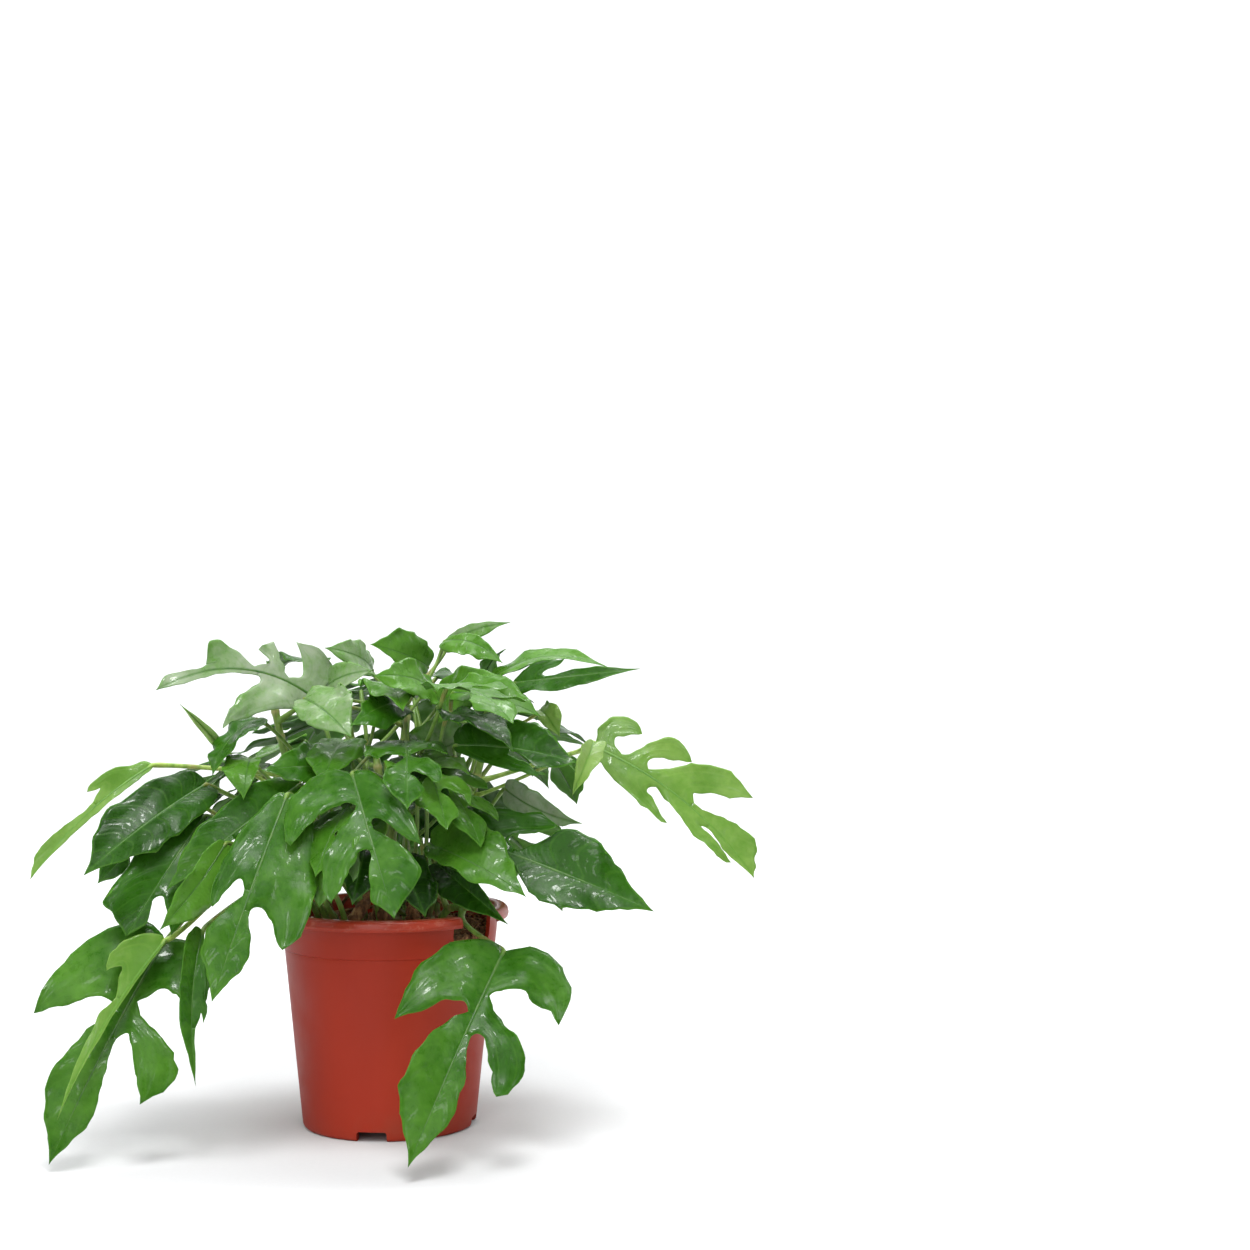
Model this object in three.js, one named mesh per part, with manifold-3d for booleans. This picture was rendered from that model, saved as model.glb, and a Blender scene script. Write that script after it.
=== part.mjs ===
// A mini monstera (Rhaphidophora tetrasperma) in a 12 cm plastic nursery pot.
// Millimetres, +Z up. The origin is on the pot's axis, on the surface it stands on,
// and the front of the plant faces -Y.
import * as THREE from "three";
import { mergeVertices } from "three/addons/utils/BufferGeometryUtils.js";
import Module from "manifold-3d";

const wasm = await Module();
wasm.setup();

// Pot
const POT_HEIGHT = 110;
const RIM_RADIUS = 60;
const RIM_HEIGHT = 5.5;
const RIM_ROUND = 1.5;
const RIM_THICKNESS = 1.8;
const WALL_TOP_RADIUS = 54.4;
const WALL_FOOT_RADIUS = 43.6;
const WALL_THICKNESS = 1.8;
const FOOT_ROUND = 2;
const FOOT_RING_WIDTH = 5;
const FLOOR_TOP = 7;
const CHANNEL_HEIGHT = 4;
const CHANNEL_SLANT = 1;
const PAD_RADIUS = 14;
const POT_SEGMENTS = 56;
const STEP_HEIGHT = 90;
const STEP_DEPTH = 0.6;

// Cuts in the pot
const NOTCH_COUNT = 4;
const NOTCH_ANGLE = -12;
const NOTCH_WIDTH = 15;
const NOTCH_HEIGHT = 5;
const NOTCH_ROUND = 1;
const DRAIN_COUNT = 6;
const DRAIN_RADIUS = 4;
const DRAIN_CIRCLE = 27;
const DRAIN_SIDES = 12;
const GAP_ANGLE = 50;
const GAP_WIDTH = 29;
const GAP_FLOOR = 93;
const GAP_ROUND = 7;
const CUT_REACH = 40;
const CUT_FROM = 35;
const CUT_TO = 70;
const CORNER_STEPS = 4;

// Soil
const SOIL_TOP = 101;
const CLEARANCE = 0.3;

// Leaves and stems
const BLADE_THICKNESS = 0.7;
const WEB = 0.028;
const PETIOLE_RADIUS = 1.2;
const PETIOLE_SIDES = 5;
const PETIOLE_STEPS = 7;
const PETIOLE_INSET = 5;
const PETIOLE_RISE = 0.35;
const PETIOLE_LIFT = 0.5;
const PETIOLE_ARRIVE = 0.6;
const ROOT_GAP = 0.5;
const STEM_SIDES = 8;
const STEM_STEPS = 10;
const LOBE_ROWS = 2;
const LOBE_STEPS = 3;
const END_STEPS = 4;
const MIDRIB_STOPS = [0, 0.05, 0.18, 0.34, 0.5, 0.66, 0.82, 1];
const CURL_SPAN = 0.35;
const ARC_FACTOR = 8 / 3;

// Handles of the margin curves, in blade lengths unless a line says otherwise
const MARGIN = {
  neckOut: 0.045,
  neckOn: 0.1,
  neckBack: 0.09,
  cheekOut: 0.38, // of the lobe's reach
  cheekBack: 0.45, // of the lobe's reach
  fullReach: 0.3, // reach at which a handle has its full length
  tipLead: 0.33,
  firstTipLead: 0.3,
  farIn: 0.16, // of the lobe's reach per CURL_SPAN
  farBack: 0.12,
  shoulderAfter: 0.08,
  endOut: 0.02,
  flareOut: 0.45, // of the end part's width
  endRise: 0.4, // of the way to the shoulder
  flareRise: 0.28, // of the way to the shoulder
  shoulderBack: 0.5, // of the way to the shoulder
  heartOut: 0.95, // of the blade's half width
  heartBack: 0.16,
  heartRise: 0.45, // of the way to the shoulder
  tailOn: 0.38, // of the way to the tip
  tailIn: 0.16, // of the blade's half width
  tailLate: 0.72, // of the way to the tip
};

// Leaves of the shoots
const LEAF_CLIMB = 34;
const LOWEST_LEAF = 0.3;
const HIGHEST_LEAF = 0.97;

const toRadians = THREE.MathUtils.degToRad;

// Booleans

function solidOf(geometry) {
  const bare = geometry.clone();
  bare.deleteAttribute("normal");
  bare.deleteAttribute("uv");
  const merged = mergeVertices(bare, 1e-4);
  return new wasm.Manifold(
    new wasm.Mesh({
      numProp: 3,
      vertProperties: new Float32Array(merged.attributes.position.array),
      triVerts: new Uint32Array(merged.index.array),
    }),
  );
}

function geometryOf(solid) {
  const mesh = solid.getMesh();
  const geometry = new THREE.BufferGeometry();
  geometry.setAttribute("position", new THREE.BufferAttribute(mesh.vertProperties, 3));
  geometry.setIndex(new THREE.BufferAttribute(mesh.triVerts, 1));
  geometry.computeVertexNormals();
  return geometry;
}

function turned(geometry, degrees) {
  return geometry.rotateZ(toRadians(degrees));
}

// Pot: one lathe profile, then the foot notches, drain holes and rim gap are cut

function wallOuter(z) {
  return WALL_FOOT_RADIUS + ((WALL_TOP_RADIUS - WALL_FOOT_RADIUS) * z) / (POT_HEIGHT - RIM_HEIGHT);
}

function wallInner(z) {
  return wallOuter(z) - WALL_THICKNESS;
}

function potProfile() {
  const ringInner = WALL_FOOT_RADIUS - FOOT_RING_WIDTH;
  const bandFoot = POT_HEIGHT - RIM_HEIGHT;
  const bandTop = POT_HEIGHT - RIM_THICKNESS;
  return [
    [0, 0],
    [PAD_RADIUS, 0],
    [PAD_RADIUS + CHANNEL_SLANT, CHANNEL_HEIGHT],
    [ringInner - CHANNEL_SLANT, CHANNEL_HEIGHT],
    [ringInner, 0],
    [WALL_FOOT_RADIUS - FOOT_ROUND, 0],
    [wallOuter(FOOT_ROUND), FOOT_ROUND],
    [wallOuter(STEP_HEIGHT) - STEP_DEPTH, STEP_HEIGHT],
    [wallOuter(STEP_HEIGHT), STEP_HEIGHT + STEP_DEPTH],
    [wallOuter(bandTop), bandTop],
    [RIM_RADIUS - RIM_THICKNESS, bandTop],
    [RIM_RADIUS - RIM_THICKNESS, bandFoot],
    [RIM_RADIUS, bandFoot],
    [RIM_RADIUS, POT_HEIGHT - RIM_ROUND],
    [RIM_RADIUS - RIM_ROUND, POT_HEIGHT],
    [wallInner(POT_HEIGHT) + RIM_ROUND, POT_HEIGHT],
    [wallInner(POT_HEIGHT - RIM_ROUND), POT_HEIGHT - RIM_ROUND],
    [wallInner(FLOOR_TOP), FLOOR_TOP],
    [0, FLOOR_TOP],
  ].map(([r, z]) => new THREE.Vector2(r, z));
}

function lathe(profile) {
  return new THREE.LatheGeometry(profile, POT_SEGMENTS).rotateX(Math.PI / 2);
}

// A block with a rounded floor, standing across the wall at the front of the pot
function roundedCut(width, floor, top, round) {
  const half = width / 2;
  const shape = new THREE.Shape();
  shape.moveTo(-half, top);
  shape.lineTo(-half, floor + round);
  shape.quadraticCurveTo(-half, floor, -half + round, floor);
  shape.lineTo(half - round, floor);
  shape.quadraticCurveTo(half, floor, half, floor + round);
  shape.lineTo(half, top);
  shape.closePath();
  const block = new THREE.ExtrudeGeometry(shape, {
    depth: CUT_TO - CUT_FROM,
    bevelEnabled: false,
    curveSegments: CORNER_STEPS,
  });
  return block.rotateX(Math.PI / 2).translate(0, -CUT_FROM, 0);
}

function makePot() {
  let pot = solidOf(lathe(potProfile()));
  for (let i = 0; i < NOTCH_COUNT; i += 1) {
    const cut = roundedCut(NOTCH_WIDTH, -CUT_REACH, NOTCH_HEIGHT, NOTCH_ROUND);
    pot = pot.subtract(solidOf(turned(cut, NOTCH_ANGLE + (360 / NOTCH_COUNT) * i)));
  }
  for (let i = 0; i < DRAIN_COUNT; i += 1) {
    const hole = new THREE.CylinderGeometry(DRAIN_RADIUS, DRAIN_RADIUS, CUT_REACH, DRAIN_SIDES);
    hole.rotateX(Math.PI / 2).translate(DRAIN_CIRCLE, 0, 0);
    pot = pot.subtract(solidOf(turned(hole, (360 / DRAIN_COUNT) * i)));
  }
  const gap = roundedCut(GAP_WIDTH, GAP_FLOOR, POT_HEIGHT + CUT_REACH, GAP_ROUND);
  pot = pot.subtract(solidOf(turned(gap, GAP_ANGLE)));
  return geometryOf(pot);
}

function makeSoil() {
  const radius = (z) => wallInner(z) - 2 * CLEARANCE;
  const foot = FLOOR_TOP + CLEARANCE;
  const profile = [
    [0, foot],
    [radius(foot), foot],
    [radius(SOIL_TOP), SOIL_TOP],
    [0, SOIL_TOP],
  ];
  return lathe(profile.map(([r, z]) => new THREE.Vector2(r, z)));
}

// Tubes: a polygon section swept along a curve, closed at both ends

function tube(curve, radius, sides, steps) {
  const section = new THREE.Shape();
  for (let i = 0; i < sides; i += 1) {
    const a = (2 * Math.PI * i) / sides;
    section[i ? "lineTo" : "moveTo"](radius * Math.cos(a), radius * Math.sin(a));
  }
  section.closePath();
  return new THREE.ExtrudeGeometry(section, { steps, extrudePath: curve });
}

function curveOf(points) {
  return new THREE.CatmullRomCurve3(points.map((p) => new THREE.Vector3(...p)), false, "centripetal");
}

// Blade outline, in the blade's flat frame: x from the midrib, u along it, length 1

function bezier(a, b, c, d, steps) {
  const curve = new THREE.CubicBezierCurve(...[a, b, c, d].map((p) => new THREE.Vector2(...p)));
  return curve.getPoints(steps);
}

// A lobe row is [u of the sinus beyond it, x and u of the lobe's tip, hook of the tip].
// Each lobe is a grid between its near and far margins
function lobeGrid(inner, [sinus, tipX, tipU, hook], first) {
  const neck = new THREE.Vector2(WEB, sinus);
  const bulge = first
    ? [MARGIN.cheekOut * tipX, -MARGIN.cheekBack * tipX]
    : [inner.x + MARGIN.neckOut, inner.y + MARGIN.neckOn];
  const lead = (first ? MARGIN.firstTipLead : MARGIN.tipLead) * Math.min(1, tipX / MARGIN.fullReach);
  const near = bezier([inner.x, inner.y], bulge, [tipX + hook, tipU - lead], [tipX, tipU], LOBE_STEPS);
  const far = bezier(
    [neck.x, neck.y],
    [neck.x + MARGIN.neckOut, neck.y - MARGIN.neckBack],
    [tipX * (1 - MARGIN.farIn / CURL_SPAN), tipU - MARGIN.farBack],
    [tipX, tipU],
    LOBE_STEPS,
  );
  const grid = [];
  for (let row = 0; row <= LOBE_ROWS; row += 1) {
    grid.push(near.map((p, i) => p.clone().lerp(far[i], row / LOBE_ROWS)));
  }
  return { neck, grid };
}

// The end part's row is [half width, its place along the blade, flare of its margin]
function endChain(inner, hasLobes, [wide, wideAt, flare = 0]) {
  const shoulder = [wide, Math.max(wideAt, inner.y + MARGIN.shoulderAfter)];
  const rise = shoulder[1] - inner.y;
  const rest = 1 - shoulder[1];
  const heartBack = MARGIN.heartBack * Math.min(1, wide / MARGIN.fullReach);
  const handles = hasLobes
    ? [
        [
          MARGIN.endOut + MARGIN.flareOut * flare * wide,
          inner.y + (MARGIN.endRise - MARGIN.flareRise * flare) * rise,
        ],
        [wide, shoulder[1] - MARGIN.shoulderBack * rise],
      ]
    : [
        [MARGIN.heartOut * wide, -heartBack],
        [wide, MARGIN.heartRise * shoulder[1]],
      ];
  const body = bezier([inner.x, inner.y], ...handles, shoulder, END_STEPS);
  const tail = bezier(
    shoulder,
    [wide, shoulder[1] + MARGIN.tailOn * rest],
    [MARGIN.tailIn * wide, shoulder[1] + MARGIN.tailLate * rest],
    [0, 1],
    END_STEPS,
  );
  return [...body.slice(1), ...tail.slice(1)];
}

function halfBlade(lobes, width) {
  const grids = [];
  const chain = [new THREE.Vector2(0, 0)];
  let inner = new THREE.Vector2(0, 0);
  lobes.forEach((lobe, k) => {
    const { neck, grid } = lobeGrid(inner, lobe, k === 0);
    grids.push(grid);
    for (let row = 1; row <= LOBE_ROWS; row += 1) {
      chain.push(grid[row][0]);
    }
    inner = neck;
  });
  chain.push(...endChain(inner, lobes.length > 0, width));
  return { grids, chain };
}

// Posture: the midrib is a quadratic curve from base to tip, bowed by sag and bend,
// and each half of the blade rises by fold and curls down away from the midrib

function posture(leaf) {
  const base = new THREE.Vector3(...leaf.base);
  const tip = new THREE.Vector3(...leaf.tip);
  const along = tip.clone().sub(base);
  const chord = along.length();
  along.normalize();
  const up = new THREE.Vector3(...leaf.face);
  up.addScaledVector(along, -up.dot(along)).normalize();
  const side = along.clone().cross(up);
  const middle = base.clone().add(tip).multiplyScalar(0.5);
  middle.addScaledVector(up, 2 * leaf.sag).addScaledVector(side, 2 * leaf.bend);
  const rib = new THREE.QuadraticBezierCurve3(base, middle, tip);
  const length = chord * (1 + ARC_FACTOR * (leaf.sag / chord) ** 2);
  const fold = toRadians(leaf.fold);
  const curl = toRadians(leaf.curl) / CURL_SPAN;
  const place = (x, u, lift) => {
    const t = Math.min(Math.max(u, 0), 1);
    const heading = tip.clone().sub(middle).multiplyScalar(t);
    heading.addScaledVector(middle.clone().sub(base), 1 - t).normalize();
    const across = side.clone().addScaledVector(heading, -side.dot(heading)).normalize();
    const normal = across.clone().cross(heading);
    const reach = Math.abs(x);
    const outward = ((Math.sin(fold) - Math.sin(fold - curl * reach)) / curl) * Math.sign(x);
    const raise = (Math.cos(fold - curl * reach) - Math.cos(fold)) / curl;
    return rib
      .getPoint(t)
      .addScaledVector(heading, (u - t) * length)
      .addScaledVector(across, outward * length)
      .addScaledVector(normal, raise * length + lift);
  };
  return { rib, place };
}

// Blade solid: two skins that meet along the margin, thickest inside it

function makeBlade(leaf) {
  const { place } = posture(leaf);
  const points = [];
  const flat = [];
  const skin = { top: [], bottom: [] };
  const number = (x, u, inside) => {
    const key = `${x.toFixed(5)},${u.toFixed(5)}`;
    if (!(key in skin.top)) {
      const half = inside ? BLADE_THICKNESS / 2 : 0;
      skin.top[key] = points.push(place(x, u, half)) - 1;
      skin.bottom[key] = inside ? points.push(place(x, u, -half)) - 1 : skin.top[key];
    }
    return key;
  };
  const face = (a, b, c) => {
    if (a !== b && b !== c && a !== c) {
      flat.push([a, b, c]);
    }
  };
  const rib = [];
  for (const u of MIDRIB_STOPS) {
    rib.push(number(0, u, u > 0 && u < 1));
  }
  const last = rib.length - 1;
  for (const [sign, lobes, width] of [
    [1, leaf.right, leaf.rightWide],
    [-1, leaf.left, leaf.leftWide],
  ]) {
    const { grids, chain } = halfBlade(lobes, width);
    const turn = (a, b, c) => (sign > 0 ? face(a, b, c) : face(a, c, b));
    const webs = lobes.length * LOBE_ROWS;
    const edge = chain.map((p, i) => number(sign * p.x, p.y, i < webs && i % LOBE_ROWS > 0));
    for (const grid of grids) {
      const keys = grid.map((row, r) =>
        row.map((p, i) => number(sign * p.x, p.y, r > 0 && r < LOBE_ROWS && i < LOBE_STEPS)),
      );
      for (let r = 0; r < LOBE_ROWS; r += 1) {
        for (let i = 0; i < LOBE_STEPS; i += 1) {
          turn(keys[r][i], keys[r][i + 1], keys[r + 1][i + 1]);
          turn(keys[r][i], keys[r + 1][i + 1], keys[r + 1][i]);
        }
      }
    }
    let a = 0;
    let b = 0;
    while (a < last || b < chain.length - 1) {
      const nextRib = a < last ? MIDRIB_STOPS[a + 1] : Infinity;
      const nextEdge = b < chain.length - 1 ? chain[b + 1].y : Infinity;
      if (nextRib <= nextEdge) {
        turn(rib[a], edge[b], rib[a + 1]);
        a += 1;
      } else {
        turn(rib[a], edge[b], edge[b + 1]);
        b += 1;
      }
    }
  }
  const index = [];
  for (const [a, b, c] of flat) {
    index.push(skin.top[a], skin.top[b], skin.top[c]);
    index.push(skin.bottom[a], skin.bottom[c], skin.bottom[b]);
  }
  const geometry = new THREE.BufferGeometry().setFromPoints(points);
  geometry.setIndex(index);
  return geometry;
}

// Leaf: the blade joined to its petiole, which rises from the stem and arches into the midrib

function petioleCurve(leaf, { curve, radius }, at, gap) {
  const base = new THREE.Vector3(...leaf.base);
  const along = posture(leaf).rib.getTangent(0);
  const root = curve.getPoint(at);
  const heading = curve.getTangent(at);
  const outward = base.clone().sub(root);
  const span = PETIOLE_RISE * outward.length();
  outward.addScaledVector(heading, -outward.dot(heading)).normalize();
  const start = root.clone().addScaledVector(outward, radius + gap);
  const rise = start.clone().addScaledVector(outward, span);
  rise.z += span * PETIOLE_LIFT;
  const arrive = base.clone().addScaledVector(along, -span * PETIOLE_ARRIVE);
  const points = new THREE.CubicBezierCurve3(start, rise, arrive, base).getPoints(PETIOLE_STEPS);
  points.push(base.clone().addScaledVector(along, PETIOLE_INSET));
  return new THREE.CatmullRomCurve3(points, false, "centripetal");
}

function leafSolid(leaf, stem, at, gap) {
  const path = petioleCurve(leaf, stem, at, gap);
  const stalk = tube(path, PETIOLE_RADIUS, PETIOLE_SIDES, PETIOLE_STEPS + 1);
  return solidOf(makeBlade(leaf)).add(solidOf(stalk));
}

function makeLeaf(leaf, stems) {
  const [name, at] = leaf.stem;
  return geometryOf(leafSolid(leaf, stems[name], at, ROOT_GAP));
}

// Stems: radius and route, from the soil upwards
const stemTable = {
  left: {
    radius: 2.4,
    route: [[-14, -6, 101], [-14, -6, 109], [-24, -4, 125], [-38, -2, 152], [-52, 0, 185], [-58, 2, 210]],
  },
  centre: {
    radius: 2.6,
    route: [[2, 10, 101], [2, 10, 108], [0, 12, 132], [4, 14, 165], [8, 16, 200], [8, 20, 222]],
  },
  right: {
    radius: 2.4,
    route: [[20, 4, 101], [20, 4, 109], [28, 6, 122], [38, 9, 150], [46, 12, 180], [54, 14, 208]],
  },
  back: {
    radius: 2.6,
    route: [[4, 34, 101], [4, 34, 108], [2, 40, 128], [-4, 48, 162], [-7, 53, 180]],
  },
  low_left: {
    radius: 2,
    route: [[-28, -16, 101], [-28, -16, 107], [-44, -20, 116], [-62, -24, 130], [-78, -28, 138]],
  },
  front: { radius: 2, route: [[26, -18, 101], [26, -18, 106], [30, -22, 111], [36, -30, 112]] },
};

// Shoots that fill the crown: radius and route, then a row for each leaf as
// [blade, height of its base, way it points in degrees, reach from the branch, length, droop in degrees]
const shootTable = {
  left: {
    radius: 2,
    route: [[-6, 24, 101], [-6, 24, 108], [-12, 27, 150], [-22, 28, 206]],
    leaves: [
      ["split", 201, 135, 36, 72, 27],
      ["split", 185, 165, 36, 72, 35],
      ["whole", 233, 120, 44, 48, 11],
      ["split", 217, 90, 26, 64, 19],
      ["whole", 187, 128, 38, 58, 35],
      ["split", 225, 15, 44, 56, 15],
      ["split", 193, 180, 36, 72, 31],
      ["whole", 223, 285, 48, 44, 16],
      ["whole", 195, 255, 48, 44, 30],
      ["whole", 206, 222, 72, 38, 45],
    ],
  },
  middle: {
    radius: 2,
    route: [[8, -10, 101], [8, -10, 108], [8, -14, 145], [8, -18, 200]],
    leaves: [
      ["split", 161, 240, 44, 56, 47],
      ["split", 217, 60, 44, 56, 19],
      ["whole", 201, 345, 44, 48, 27],
      ["split", 185, 150, 30, 60, 53],
      ["split", 195, 270, 24, 58, 30],
      ["split", 181, 300, 24, 58, 37],
      ["split", 223, 300, 40, 60, 16],
      ["split", 174, 240, 40, 60, 41],
      ["split", 188, 285, 24, 58, 34],
      ["whole", 209, 315, 30, 46, 23],
    ],
  },
  right: {
    radius: 2,
    route: [[24, 22, 101], [24, 22, 108], [26, 27, 150], [28, 32, 206]],
    leaves: [
      ["split", 209, 120, 30, 60, 41],
      ["whole", 169, 60, 36, 61, 43],
      ["split", 225, 120, 36, 72, 15],
      ["whole", 193, 45, 36, 61, 31],
      ["split", 177, 90, 44, 56, 39],
      ["split", 209, 0, 26, 64, 23],
      ["split", 161, 105, 44, 56, 47],
      ["whole", 216, 325, 26, 28, -60],
    ],
  },
};

const shootBlades = {
  whole: { right: [], left: [], rightWide: [0.3, 0.42], leftWide: [0.3, 0.42] },
  split: {
    right: [[0.34, 0.34, 0.42, 0.1]],
    left: [[0.3, 0.33, 0.38, 0.1], [0.6, 0.26, 0.76, 0.1]],
    rightWide: [0.2, 0.72],
    leftWide: [0.13, 0.8],
  },
};
const shootPose = { face: [0, 0, 10], sag: 5, bend: 0, fold: 8, curl: 14 };

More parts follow.
